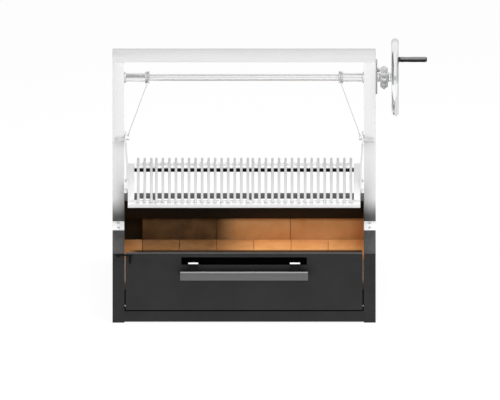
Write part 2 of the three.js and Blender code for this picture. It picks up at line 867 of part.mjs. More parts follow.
function addCrank() {
  const crank = new THREE.Group();
  crank.position.set(0, shaftY, shaftHeight);
  grill.add(crank);

  const hubOuter = wheelX + wheelHubLength / 2;
  const shaftEnd = hubOuter + nutLength / 2;
  piece(crank, 'lift_shaft', barAlongX(
    shaftRadius, [shaftLeftInset + tubeWall - halfWidth, shaftEnd], 0, 0, roundSides,
  ), 'stainless');

  for (const [label, side] of sides) {
    piece(crank, `${label}_drum`, turnedAlongX(drumProfile(), roundSides, side), 'stainless');
    const winding = new Winding(side);
    const tube = tubeAlong(winding, cableRadius, turnSteps * windingTurns);
    piece(crank, `${label}_winding`, tube, 'zinc');
    console.log(`${label} winding, least gap to itself: ${leastGap(winding).toFixed(2)} mm`);
  }

  addStarWheel(crank);

  const collarNear = starX + starThickness / 2 + collarGap;
  const hubInner = wheelX - wheelHubLength / 2;
  piece(crank, 'wheel_hub', turnedAlongX([
    [fixedBore, collarNear],
    [collarRadius, collarNear],
    [collarRadius, hubInner - fitGap],
    [fixedBore, hubInner - fitGap],
  ], roundSides), 'chrome');

  addHandWheel(crank, [hubInner, hubOuter]);

  piece(crank, 'hub_nut', turnedAlongX([
    [fixedBore, hubOuter + fitGap],
    [nutRadius, hubOuter + fitGap],
    [nutRadius, hubOuter + nutLength / 2],
    [nutRadius - nutLength / 2, hubOuter + nutLength],
    [0, hubOuter + nutLength],
    [0, shaftEnd + fitGap],
    [fixedBore, shaftEnd + fitGap],
  ], roundSides), 'chrome');

  addGrip(crank);
}

function addStarWheel(crank) {
  const core = turnedAlongX([
    [fixedBore, starX - starThickness / 2],
    [starCoreRadius, starX - starThickness / 2],
    [starCoreRadius, starX + starThickness / 2],
    [fixedBore, starX + starThickness / 2],
  ], roundSides);
  const teeth = [];
  for (let count = 0; count < starTeeth; count += 1) {
    const tooth = new THREE.ConeGeometry(Math.SQRT1_2, 1, 4);
    tooth.rotateY(Math.PI / 4);
    tooth.scale(starThickness, starTipRadius - starToothSeat, starToothBase);
    tooth.translate(starX, (starTipRadius + starToothSeat) / 2, 0);
    tooth.rotateX(2 * Math.PI * count / starTeeth);
    teeth.push(tooth);
  }
  piece(crank, 'ratchet_wheel', join([core, ...teeth]), 'zinc');
}

const rimCentreRadius = wheelDiameter / 2 - rimRadius;

function addHandWheel(crank, [hubInner, hubOuter]) {
  const rim = new THREE.TorusGeometry(rimCentreRadius, rimRadius, torusSides, torusSteps);
  rim.rotateY(Math.PI / 2);
  rim.translate(wheelX, 0, 0);
  const hub = barAlongX(wheelHubRadius, [hubInner, hubOuter], 0, 0, roundSides);
  const pieces = [rim, hub];
  for (let count = 0; count < spokeCount; count += 1) {
    const spoke = block(
      [wheelX - spokeThickness / 2, wheelX + spokeThickness / 2],
      [-spokeWidth / 2, spokeWidth / 2],
      [0, rimCentreRadius - rimRadius + spokeSink],
    );
    spoke.rotateX(2 * Math.PI * count / spokeCount);
    pieces.push(spoke);
  }
  const bore = barAlongX(fixedBore, [hubInner - sheet, hubOuter + sheet], 0, 0, roundSides);
  piece(crank, 'hand_wheel', cut(join(pieces), [bore]), 'chrome');
}

function addGrip(crank) {
  const arm = new THREE.Group();
  const angle = Math.PI * gripAngleShare;
  arm.position.set(0, -rimCentreRadius * Math.cos(angle), rimCentreRadius * Math.sin(angle));
  crank.add(arm);
  const base = wheelX + rimRadius + fitGap;
  const gripNear = base + spindleBaseLength + fitGap;
  const headNear = gripEndX - spindleHeadLength;
  const gripFar = headNear - fitGap;
  piece(arm, 'grip_spindle', turnedAlongX([
    [0, base],
    [spindleBaseRadius, base],
    [spindleBaseRadius, base + spindleBaseLength],
    [spindleRadius, base + spindleBaseLength],
    [spindleRadius, headNear],
    [spindleHeadRadius, headNear],
    [spindleHeadRadius, gripEndX],
    [0, gripEndX],
  ], smallSides), 'chrome');
  const bore = spindleRadius + turnGap;
  piece(arm, 'grip', turnedAlongX([
    [bore, gripNear],
    [gripRadius, gripNear],
    [gripRadius - gripWaist, (3 * gripNear + gripFar) / 4],
    [gripRadius, (gripNear + gripFar) / 2],
    [gripRadius - gripWaist / 2, (gripNear + 3 * gripFar) / 4],
    [gripRadius, gripFar],
    [bore, gripFar],
  ], smallSides), 'grip');
}

// Grate carriage

const eyeFace = plateInnerX - plateThickness;
const eyeMiddle = eyeFace - eyeLength / 2;
const cableY = shaftY - cableFront;
const cableTopX = drumX - windingPitch * windingTurns / 2;
const rollerNear = plateInnerX + fitGap;
const rollerFar = rollerNear + rollerLength;
const rollerGap = rollerRadius + fitGap;
const rollerPlaces = [
  ['front', frontY + uprightFront - rollerGap],
  ['rear', frontY + uprightFront + uprightDepth + rollerGap],
];
const frameBoltHeight = frameHeight + frameThickness / 2;
const frameBoltOffsets = [frameBoltInset - plateFootHalfDepth, plateFootHalfDepth - frameBoltInset];

// A carriage plate: a head behind the rollers, a web that steps in toward the grate, and a wide foot
function carriagePlate(side) {
  const headBottom = plateTop - plateHeadHeight;
  const bend = frameHeight + plateBendRise;
  const headDepths = [shaftY - plateHeadHalfDepth, shaftY + plateHeadHalfDepth];
  const head = sideBlock(side, [eyeFace, plateInnerX], headDepths, [headBottom, plateTop]);
  const web = outlineAlongY(polygon([
    [side * footFace, frameHeight],
    [side * footOuter, frameHeight],
    [side * footOuter, bend],
    [side * plateInnerX, headBottom],
    [side * plateInnerX, plateTop],
    [side * eyeFace, plateTop],
    [side * eyeFace, headBottom],
    [side * footFace, bend],
  ]), [shaftY - plateWebHalfDepth, shaftY + plateWebHalfDepth]);
  const foot = outlineAlongX(polygon([
    [shaftY - plateFootHalfDepth, frameHeight],
    [shaftY + plateFootHalfDepth, frameHeight],
    [shaftY + plateFootHalfDepth, frameTop],
    [shaftY + plateWebHalfDepth, frameTop + frameThickness],
    [shaftY - plateWebHalfDepth, frameTop + frameThickness],
    [shaftY - plateFootHalfDepth, frameTop],
  ]), spanOnSide(side, footFace, footOuter));
  return [head, web, foot];
}

function addCarriagePlates(carriage) {
  for (const [label, side] of sides) {
    // Each plate is one piece with its frame bolts, its roller studs and its cable eye
    const pieces = carriagePlate(side);
    for (const offset of frameBoltOffsets) {
      pieces.push(turnedAlongX([
        [0, frameOuter - tubeWall - frameBoltGrip],
        [frameBoltRadius, frameOuter - tubeWall - frameBoltGrip],
        [frameBoltRadius, footOuter - fitGap],
        [frameBoltHeadRadius, footOuter - fitGap],
        [frameBoltHeadRadius, footOuter + frameBoltHeadHeight],
        [0, footOuter + frameBoltHeadHeight],
      ], smallSides, side).translate(0, shaftY + offset, frameBoltHeight));
    }
    for (const [, y] of rollerPlaces) {
      pieces.push(turnedAlongX([
        [0, eyeFace + fitGap],
        [axleRadius, eyeFace + fitGap],
        [axleRadius, rollerFar + fitGap],
        [axleHeadRadius, rollerFar + fitGap],
        [axleHeadRadius, rollerFar + fitGap + axleHeadLength],
        [0, rollerFar + fitGap + axleHeadLength],
      ], smallSides, side).translate(0, y, rollerHeight));
    }
    pieces.push(barAlongX(
      eyeRadius, spanOnSide(side, eyeFace - eyeLength, eyeFace + fitGap), cableY, eyeHeight, smallSides,
    ));
    piece(carriage, `${label}_carriage_plate`, join(pieces), 'stainless');
  }
}

function addRollers(carriage) {
  const bore = axleRadius + turnGap;
  for (const [label, side] of sides) {
    for (const [end, y] of rollerPlaces) {
      const roller = turnedAlongX([
        [bore, rollerNear], [rollerRadius, rollerNear], [rollerRadius, rollerFar], [bore, rollerFar],
      ], smallSides, side);
      piece(carriage, `${label}_${end}_roller`, roller, 'stainless').position.set(0, y, rollerHeight);
    }
  }
}

// Cables run from the front of each drum to an eye on the carriage plate
function addCables(carriage) {
  for (const [label, side] of sides) {
    const top = new THREE.Vector3(side * cableTopX, cableY, shaftHeight - fitGap);
    const bottom = new THREE.Vector3(side * eyeMiddle, cableY, eyeHeight + eyeRadius + cableRadius);
    piece(carriage, `${label}_cable`, tubeAlong(new THREE.LineCurve3(top, bottom), cableRadius, 1), 'zinc');
  }
}

function addGrateFrame(carriage) {
  const sideFront = trayFront + trayDepth + fitGap;
  const heights = [frameHeight, frameTop];
  for (const [label, side] of sides) {
    const tube = sideBlock(side, [frameInner, frameOuter], depthSpan(sideFront, frameRearEnd), heights);
    const hollow = sideBlock(
      side, [frameInner + tubeWall, frameOuter - tubeWall],
      depthSpan(sideFront - ledgeOverlap, frameRearEnd - tubeWall),
      [frameHeight + ledgeThickness, frameTop - tubeWall],
    );
    const ledge = sideBlock(
      side, [frameOuter - ledgeWidth, frameOuter], depthSpan(ledgeFront, sideFront + ledgeOverlap),
      [frameHeight, frameHeight + ledgeThickness],
    );
    const boltHoles = frameBoltOffsets.map((offset) => barAlongX(
      frameBoltRadius + fitGap, spanOnSide(side, frameOuter - frameSideWidth / 2, eyeFace),
      shaftY + offset, frameBoltHeight, smallSides,
    ));
    const member = cut(join([cut(tube, [hollow]), ledge]), boltHoles);
    piece(carriage, `${label}_frame_member`, member, 'stainless');
  }

  const rearDepths = depthSpan(frameRearEnd - frameRearDepth, frameRearEnd);
  const rearTube = block([-frameInner, frameInner], rearDepths, heights);
  const rearHollow = block(
    [-halfWidth, halfWidth], [rearDepths[0] + tubeWall, rearDepths[1] - tubeWall],
    [frameHeight + tubeWall, frameTop - tubeWall],
  );
  piece(carriage, 'rear_frame_member', cut(rearTube, [rearHollow]), 'stainless');

  piece(carriage, 'front_frame_member', block(
    [-frameInner, frameInner],
    depthSpan(crossBarFront - frameFrontBarDepth / 2, crossBarFront + frameFrontBarDepth / 2),
    [frameHeight, frameHeight + frameFrontBarHeight],
  ), 'stainless');
}

// Height of a rod's centre line at a depth behind the front of the body
function rodHeight(depth) {
  const share = (depth - rodFront) / (rodRear - rodFront);
  return rodFrontHeight + share * (rodRearHeight - rodFrontHeight);
}

function rod(x) {
  const rise = rodRearHeight - rodFrontHeight;
  const run = rodRear - rodFront;
  const geometry = new THREE.CylinderGeometry(rodRadius, rodRadius, Math.hypot(run, rise), rodSides);
  geometry.rotateY(Math.PI / rodSides);
  geometry.rotateX(Math.atan2(rise, run));
  geometry.translate(x, frontY + (rodFront + rodRear) / 2, (rodFrontHeight + rodRearHeight) / 2);
  return geometry;
}

function gratePanel(rods) {
  const left = rods[0] - rodRadius;
  const right = rods[rods.length - 1] + rodRadius;
  const bars = [
    [crossBarRear, frameTop + fitGap],
    [crossBarFront, frameHeight + frameFrontBarHeight + fitGap],
  ].map(([depth, bottom]) => block(
    [left, right],
    depthSpan(depth - crossBarThickness / 2, depth + crossBarThickness / 2),
    [bottom, rodHeight(depth) - rodRadius / 2],
  ));
  return join([...rods.map(rod), ...bars]);
}

function addGrate(carriage) {
  let x = leftRodMargin - frameInner;
  const panels = [['left', leftRodCount], ['middle', middleRodCount], ['right', rightRodCount]];
  for (const [label, count] of panels) {
    const rods = [];
    for (let index = 0; index < count; index += 1) {
      rods.push(x + index * rodPitch);
    }
    piece(carriage, `grate_panel_${label}`, gratePanel(rods), 'rod');
    x = rods[count - 1] + rodSeamPitch;
  }
}

function addTray(carriage) {
  const base = frameHeight + ledgeThickness + fitGap;
  const shell = block(
    [-frameOuter, frameOuter], depthSpan(trayFront, trayFront + trayDepth), [base, base + trayLipHeight],
  );
  const inside = block(
    [traySheet - frameOuter, frameOuter - traySheet],
    depthSpan(trayFront + traySheet, trayFront + trayDepth - traySheet),
    [base + traySheet, base + 2 * trayLipHeight],
  );
  const rodRelief = block(
    [-frameInner, frameInner], depthSpan(trayFront + trayDepth / 2, trayFront + 2 * trayDepth),
    [base + trayRearHeight, base + 2 * trayLipHeight],
  );
  piece(carriage, 'grease_tray', cut(shell, [inside, rodRelief]), 'stainless');
}

function addCarriage() {
  const carriage = new THREE.Group();
  grill.add(carriage);
  addCarriagePlates(carriage);
  addRollers(carriage);
  addCables(carriage);
  addGrateFrame(carriage);
  addGrate(carriage);
  addTray(carriage);
}

addBody();
addHearth();
addDoor();
addDoorFixings();
addArch();
addBearingsAndPlate();
addCrank();
addCarriage();

export default grill;
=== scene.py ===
import math
import random

import bmesh
import bpy
from mathutils import Matrix, Vector


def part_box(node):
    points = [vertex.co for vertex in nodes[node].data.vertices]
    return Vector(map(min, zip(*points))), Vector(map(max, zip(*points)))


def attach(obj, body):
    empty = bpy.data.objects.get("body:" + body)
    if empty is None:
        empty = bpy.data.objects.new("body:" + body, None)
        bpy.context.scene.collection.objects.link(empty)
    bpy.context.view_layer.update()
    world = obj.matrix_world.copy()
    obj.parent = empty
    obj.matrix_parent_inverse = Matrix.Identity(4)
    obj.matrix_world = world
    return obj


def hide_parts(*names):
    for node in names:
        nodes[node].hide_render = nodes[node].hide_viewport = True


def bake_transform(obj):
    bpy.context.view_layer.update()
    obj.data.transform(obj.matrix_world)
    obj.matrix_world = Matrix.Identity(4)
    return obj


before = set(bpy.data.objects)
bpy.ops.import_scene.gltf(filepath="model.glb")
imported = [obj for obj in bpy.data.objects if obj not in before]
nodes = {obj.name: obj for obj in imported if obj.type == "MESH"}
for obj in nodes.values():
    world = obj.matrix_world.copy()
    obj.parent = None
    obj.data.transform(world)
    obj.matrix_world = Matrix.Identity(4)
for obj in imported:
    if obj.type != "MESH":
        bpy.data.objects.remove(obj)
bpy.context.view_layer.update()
dice = random.Random(11)
print("frame loaded:", len(nodes), "solids")


# shape helpers, all in metres; each that starts with new gives a bmesh of its own

mergeReach = 1e-6
bothSides = (("left", -1), ("right", 1))


def axisVector(axis):
    return Vector([float(axis == letter) for letter in "XYZ"])


def middleOf(low, high):
    return tuple((a + b) / 2 for a, b in zip(low, high))


def pourInto(target, source):  # adds one bmesh to another and frees it
    mesh = bpy.data.meshes.new("pour")
    source.to_mesh(mesh)
    source.free()
    target.from_mesh(mesh)
    bpy.data.meshes.remove(mesh)


def joined(*shapes):
    whole = bmesh.new()
    for shape in shapes:
        pourInto(whole, shape)
    return whole


def bevelParts(bm, parts, width, segments, affect="EDGES"):
    bmesh.ops.bevel(
        bm, geom=parts, offset=width, offset_type="OFFSET", affect=affect,
        segments=segments, profile=0.5, clamp_overlap=True, material=-1,
    )


def bevelSharp(bm, width, segments=2, sharper=32):
    limit = math.radians(sharper)
    edges = [e for e in bm.edges if len(e.link_faces) == 2 and e.calc_face_angle(0) > limit]
    if edges and width > 0:
        bevelParts(bm, edges, width, segments)
    return bm


def newBox(low, high, bevel=0.0, segments=2):
    bm = bmesh.new()
    size = [b - a for a, b in zip(low, high)]
    place = Matrix.Translation(middleOf(low, high)) @ Matrix.Diagonal((*size, 1))
    bmesh.ops.create_cube(bm, size=1, matrix=place)
    return bevelSharp(bm, bevel, segments)


def spinRound(bm, centre, along, steps):
    bmesh.ops.spin(
        bm, geom=bm.verts[:] + bm.edges[:], cent=Vector(centre), axis=along, dvec=(0, 0, 0),
        angle=2 * math.pi, steps=steps, use_merge=True, use_duplicate=False,
    )
    bmesh.ops.remove_doubles(bm, verts=bm.verts, dist=mergeReach)


def newTurned(profile, centre, axis="X", steps=64, bevel=0.0, segments=2, sign=1):
    # profile is (radius, place along the axis); it starts and ends on the axis, or closes on itself
    bm = bmesh.new()
    along = axisVector(axis)
    out = axisVector("X" if axis == "Z" else "Z")
    verts = [bm.verts.new(Vector(centre) + out * r + along * a * sign) for r, a in profile]
    for pair in zip(verts, verts[1:]):
        bm.edges.new(pair)
    if profile[0][0] > 0:
        bm.edges.new((verts[-1], verts[0]))
    spinRound(bm, centre, along, steps)
    bmesh.ops.recalc_face_normals(bm, faces=bm.faces)
    return bevelSharp(bm, bevel, segments)


def stepped(bore, start, *steps):  # a profile of plain cylinders, each given by radius and end
    profile = [(bore, start)]
    for radius, end in steps:
        profile += [(radius, start), (radius, end)]
        start = end
    return profile + [(bore, start)]


def newRing(centre, ringRadius, barRadius, steps, sides):  # a round bar bent about the X axis
    bm = bmesh.new()
    along, out = axisVector("X"), axisVector("Z")
    turn = along.cross(out).to_track_quat("Z", "Y").to_matrix().to_4x4()
    place = Matrix.Translation(Vector(centre) + out * ringRadius) @ turn
    bmesh.ops.create_circle(bm, cap_ends=False, radius=barRadius, segments=sides, matrix=place)
    spinRound(bm, centre, along, steps)
    return bm


def newBar(start, end, radius, sides=24, bevel=0.0):
    bm = bmesh.new()
    start, end = Vector(start), Vector(end)
    run = end - start
    turn = run.to_track_quat("Z", "Y").to_matrix().to_4x4()
    bmesh.ops.create_cone(
        bm, cap_ends=True, segments=sides, radius1=radius, radius2=radius, depth=run.length,
        matrix=Matrix.Translation((start + end) / 2) @ turn,
    )
    return bevelSharp(bm, bevel, sharper=50)


def newHexHead(seat, width, height):
    # upright hexagon head with chamfered corners on a washer face; the shares are of width and height
    head = dict(washer=0.62, washerHigh=0.22, washerRound=0.06, corner=0.55, chamfer=0.1)
    rim, base = width * head["washer"], height * head["washerHigh"]
    washerRound, chamfer = height * head["washerRound"], height * head["chamfer"]
    washer = newTurned(stepped(0, 0, (rim, base)), seat, "Z", steps=32, bevel=washerRound, segments=1)
    foot = Vector(seat) + Vector((0, 0, base))
    crown = foot + Vector((0, 0, height - base))
    return joined(washer, newBar(foot, crown, width * head["corner"], sides=6, bevel=chamfer))


def addBead(target, spot, radius, around=10, rings=6):
    bmesh.ops.create_uvsphere(
        target, u_segments=around, v_segments=rings, radius=radius, matrix=Matrix.Translation(spot),
    )


def linked(name, data):
    made = bpy.data.objects.new(name, data)
    bpy.context.scene.collection.objects.link(made)
    return made


def meshObject(bm, name, material):
    mesh = bpy.data.meshes.new(name)
    bm.to_mesh(mesh)
    bm.free()
    mesh.materials.append(material)
    return linked(name, mesh)


def finishPiece(bm, name, body, material, node=None, crease=38):
    bmesh.ops.recalc_face_normals(bm, faces=bm.faces)
    limit = math.radians(crease)
    for face in bm.faces:
        face.smooth = True
    for edge in bm.edges:
        if len(edge.link_faces) == 2 and edge.calc_face_angle(0) > limit:
            edge.smooth = False
    piece = meshObject(bm, name, material)
    if body:
        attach(piece, body)
    if node:
        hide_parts(node)
    return piece


def finishNode(bm, node, body, material):  # a piece made anew in the place of one CAD solid
    finishPiece(bm, node + "_finish", body, material, node)


def dressNode(name, body, material, slot, bevel, segments=2, sharper=32):
    # a welded copy of a CAD solid with its sharp edges eased
    bm = bmesh.new()
    bm.from_mesh(nodes[name].data)
    bmesh.ops.remove_doubles(bm, verts=bm.verts, dist=mergeReach)
    bmesh.ops.dissolve_limit(
        bm, angle_limit=math.radians(1), verts=bm.verts, edges=bm.edges, use_dissolve_boundaries=False,
    )
    finishNode(bevelSharp(bm, bevel, segments, sharper), name, body, material)


# node helpers for materials and for the studio's light

class Graph:
    def __init__(self, owner):  # a material or a world
        owner.use_nodes = True
        self.owner = owner
        self.tree = owner.node_tree
        self.tree.nodes.clear()

    def node(self, kind, **settings):
        made = self.tree.nodes.new("ShaderNode" + kind)
        for key, value in settings.items():
            setattr(made, key, value)
        return made

    def feed(self, value, socket):  # value is a number, a colour, or what another node gives
        if isinstance(value, (int, float)):
            socket.default_value = value
        elif isinstance(value, tuple):
            socket.default_value = (*value, 1)
        else:
            self.tree.links.new(value, socket)

    def fill(self, made, sockets, values):
        for socket, value in zip(sockets, values):
            self.feed(value, made.inputs[socket])
        return made.outputs[0]

    def reckon(self, kind, *values):
        return self.fill(self.node("Math", operation=kind), range(3), values)

    def times(self, first, second):
        return self.reckon("MULTIPLY", first, second)

    def spread(self, source, low, high, toLow=0.0, toHigh=1.0, shape="LINEAR"):
        made = self.node("MapRange", clamp=True, interpolation_type=shape)
        sockets = ("Value", "From Min", "From Max", "To Min", "To Max")
        return self.fill(made, sockets, (source, low, high, toLow, toHigh))

    def eased(self, source, *ends):
        return self.spread(source, *ends, shape="SMOOTHSTEP")

    def split(self, vector):  # its X, Y and Z
        made = self.node("SeparateXYZ")
        self.feed(vector, made.inputs["Vector"])
        return made.outputs


class Finish(Graph):
    def __init__(self, name, colour, shine=0.5, metal=0.0):
        super().__init__(bpy.data.materials.new(name))
        self.colour = colour
        self.shader = self.node("BsdfPrincipled")
        self.feed(self.shader.outputs["BSDF"], self.node("OutputMaterial").inputs["Surface"])
        self.place = self.node("TexCoord").outputs["Object"]
        self.set("Specular IOR Level", shine)
        self.set("Metallic", metal)

    def set(self, socket, value):
        self.feed(value, self.shader.inputs[socket])

    def noise(self, scale, detail, rough, stretch=None):
        place = self.place
        if stretch:
            mapping = self.node("Mapping")
            mapping.inputs["Scale"].default_value = stretch
            self.feed(place, mapping.inputs["Vector"])
            place = mapping.outputs["Vector"]
        sockets = ("Scale", "Detail", "Roughness", "Vector")
        return self.fill(self.node("TexNoise"), sockets, (scale, detail, rough, place))

    def cells(self, scale):
        return self.fill(self.node("TexVoronoi"), ("Scale", "Vector"), (scale, self.place))

    def patches(self, grain, ends):
        # grain is a noise's scale, detail and roughness, and ends is what spread takes
        return self.spread(self.noise(*grain), *ends)

    def ramp(self, source, stops):  # stops are (place, grey level)
        ramp = self.node("ValToRGB")
        band = ramp.color_ramp
        while len(band.elements) < len(stops):
            band.elements.new(1.0)
        for element, (place, level) in zip(band.elements, stops):
            element.position = place
            element.color = (level, level, level, 1)
        return self.fill(ramp, ("Fac",), (source,))

    def tint(self, share, over):  # lays another colour over the present one
        made = self.node("Mix", data_type="RGBA", blend_type="MIX")
        self.fill(made, (0, 6, 7), (share, self.colour, over))
        self.colour = made.outputs[2]

    def along(self, axis):  # place on an axis
        return self.split(self.place)[axis]

    def facing(self, axis):  # how much a face looks along an axis
        return self.split(self.node("NewGeometry").outputs["Normal"])[axis]

    def done(self, rough, height=None, relief=()):  # relief is the bump's strength and depth
        self.set("Base Color", self.colour)
        self.set("Roughness", rough)
        if height:
            sockets = ("Strength", "Distance", "Height")
            self.set("Normal", self.fill(self.node("Bump"), sockets, (*relief, height)))
        return self.owner


def shaded(colour, share):
    return tuple(c * share for c in colour)


def mottled(name, base, over, patch, gloss, grain, relief, shine):
    # one colour with patches of another, uneven gloss and a fine grain
    skin = Finish(name, base, shine)
    skin.tint(skin.patches(*patch), over)
    return skin.done(skin.patches(*gloss), skin.noise(*grain), relief)


def sootySteel(name, base, ash, shine):
    return mottled(
        name, base, ash, patch=((55, 8, 0.65), (0.48, 0.8, 0, 0.8)),
        gloss=((110, 5, 0.6), (0.3, 0.7, 0.62, 0.9)), grain=(500, 4, 0.6), relief=(0.18, 0.0008), shine=shine,
    )


def powderPaint(name, shadeBelow=None):  # the height in metres below which a painted shade darkens the paint
    look = dict(
        base=(0.0080, 0.0080, 0.0084), worn=(0.020, 0.020, 0.021), upwardFaceLight=(0.026, 0.026, 0.0262),
        soot=(0.010, 0.0078, 0.0056), dust=((9, 6, 0.6), (0.42, 0.75, 0, 0.4)),
        fleck=((1400, 2, 0.5), (0.55, 0.75, 0, 0.3)), level=(0.5, 0.95), shadeEdge=0.002, shadeShare=0.9,
        gloss=((27, 5, 0.6), (0.3, 0.7, 0.40, 0.51)), peel=(420, 2, 0.5), finePeel=(2200, 2, 0.5),
        fineShare=0.4, relief=(0.10, 0.0006),
    )
    skin = Finish(name, look["base"], shine=0.36)
    wear = skin.reckon("ADD", skin.patches(*look["dust"]), skin.patches(*look["fleck"]))
    skin.tint(wear, look["worn"])
    # painted light: faces that look up are made lighter
    skin.tint(skin.spread(skin.facing("Z"), *look["level"]), look["upwardFaceLight"])
    # painted shade: below the given height the paint turns brown-black
    if shadeBelow:
        ends = (shadeBelow - look["shadeEdge"], shadeBelow, look["shadeShare"], 0)
        skin.tint(skin.spread(skin.along("Z"), *ends), look["soot"])
    fine = skin.times(skin.noise(*look["finePeel"]), look["fineShare"])
    peel = skin.reckon("ADD", skin.noise(*look["peel"]), fine)
    return skin.done(skin.patches(*look["gloss"]), peel, look["relief"])


def brushedSteel(name, along, base, gloss, metal, fine=1.0, paintedDark=None):
    # drawn grain runs along one axis, so the noise is stretched that way
    # paintedDark is "front" for a painted shade that blackens the lower front face, or a height: a painted
    # shade darkens the metal above it, and a painted reflection blackens it towards the foot below it
    look = dict(
        shade=0.90, coarse=900 * fine, long=6, grain=(1.0, 3, 0.6), cloud=(7, 4, 0.5), cloudShare=0.35,
        streaks=(0.45, 0.95), gloss=(0.3, 0.75, gloss * 0.85, gloss * 1.25), relief=(0.025, 0.00015),
    )
    stretch = [look["coarse"]] * 3
    stretch["XYZ".index(along)] = look["long"]
    skin = Finish(name, base, metal=metal)
    grain = skin.noise(*look["grain"], stretch)
    cloud = skin.times(skin.noise(*look["cloud"]), look["cloudShare"])
    streaks = skin.spread(skin.reckon("ADD", grain, cloud), *look["streaks"])
    skin.tint(streaks, shaded(base, look["shade"]))
    rough = skin.spread(grain, *look["gloss"])
    if isinstance(paintedDark, float):
        paintedShadeAndReflection = dict(reach=0.4, share=0.8, shade=0.82, foot=0.074, footShare=0.95, black=(0.040, 0.039, 0.038),
                    uneven=((22, 4, 0.5), (0.3, 0.7, 0.95, 1)))
        level = skin.along("Z")
        # painted shade: the metal darkens upward from the given height
        upper = skin.spread(level, paintedDark, paintedDark + paintedShadeAndReflection["reach"], 0, paintedShadeAndReflection["share"])
        skin.tint(upper, shaded(base, paintedShadeAndReflection["shade"]))
        # painted reflection of the black flange: the metal turns black in patches towards the foot
        lower = skin.eased(level, paintedDark - paintedShadeAndReflection["foot"], paintedDark, paintedShadeAndReflection["footShare"], 0)
        lower = skin.times(lower, skin.patches(*paintedShadeAndReflection["uneven"]))
        skin.tint(lower, paintedShadeAndReflection["black"])
    elif paintedDark:
        # painted shade: the front face below the rods is black, rough and not metallic
        face = dict(ahead=(0.6, 0.85), below=(0.3446, 0.3454, 1, 0), black=(0.004, 0.0035, 0.003), rough=0.8)
        ahead = skin.spread(skin.times(skin.facing("Y"), -1), *face["ahead"])
        ahead = skin.times(ahead, skin.spread(skin.along("Z"), *face["below"]))
        skin.tint(ahead, face["black"])
        rough = skin.reckon("MAXIMUM", rough, skin.times(ahead, face["rough"]))
        skin.set("Metallic", skin.spread(ahead, 0, 1, metal, 0))
    return skin.done(rough, grain, look["relief"])


def smeared(name, metal, base, over, smear, patch, gloss, grain=None, relief=()):
    # one smear sets both the patches of a second colour and the gloss
    skin = Finish(name, base, metal=metal)
    smear = skin.noise(*smear)
    skin.tint(skin.spread(smear, *patch), over)
    return skin.done(skin.spread(smear, *gloss), grain and skin.noise(*grain), relief)


def zincPlate(name, base=(0.80, 0.80, 0.805), gloss=0.36, metal=0.6):
    look = dict(
        shade=0.86, spangle=260, patch=(0.1, 0.8), grain=(900, 3, 0.5), relief=(0.06, 0.0003),
        gloss=((180, 4, 0.6), (0.3, 0.7, gloss - 0.05, gloss + 0.09)),
    )
    skin = Finish(name, base, metal=metal)
    spangle = skin.spread(skin.cells(look["spangle"]), *look["patch"])
    skin.tint(spangle, shaded(base, look["shade"]))
    return skin.done(skin.patches(*look["gloss"]), skin.noise(*look["grain"]), look["relief"])


def handleSteel():  # the upper face is lighter, a painted highlight
    look = dict(
        base=(0.160, 0.160, 0.161), shade=(0.138, 0.138, 0.140), paintedTopSheen=(0.26, 0.26, 0.262),
        stretch=(8, 1300, 1300), grain=(1.0, 3, 0.6), streaks=(0.35, 0.7), upward=(0.6, 0.95),
        metal=(0, 1, 0.85, 0.1), gloss=(0.3, 0.7, 0.36, 0.47), relief=(0.05, 0.0002),
    )
    skin = Finish("handleSteel", look["base"])
    grain = skin.noise(*look["grain"], look["stretch"])
    # painted highlight: faces that look up are lighter and less metallic
    top = skin.spread(skin.facing("Z"), *look["upward"])
    skin.tint(skin.spread(grain, *look["streaks"]), look["shade"])
    skin.tint(top, look["paintedTopSheen"])
    skin.set("Metallic", skin.spread(top, *look["metal"]))
    return skin.done(skin.spread(grain, *look["gloss"]), grain, look["relief"])


def gripPlastic():  # black, with a painted highlight that turns the upper side grey in patches
    look = dict(
        base=(0.0045, 0.0045, 0.0048), paintedTopSheen=(0.115, 0.115, 0.115), upward=(0.12, 0.42),
        wear=((240, 4, 0.6), (0.3, 0.7, 0.85, 1)), gloss=((90, 4, 0.6), (0.3, 0.7, 0.41, 0.51)),
        grain=(1800, 2, 0.5), relief=(0.07, 0.0003),
    )
    skin = Finish("gripPlastic", look["base"], shine=0.22)
    # painted highlight on the upper side, broken into patches
    top = skin.spread(skin.facing("Z"), *look["upward"])
    worn = skin.times(top, skin.patches(*look["wear"]))
    skin.tint(worn, look["paintedTopSheen"])
    return skin.done(skin.patches(*look["gloss"]), skin.noise(*look["grain"]), look["relief"])


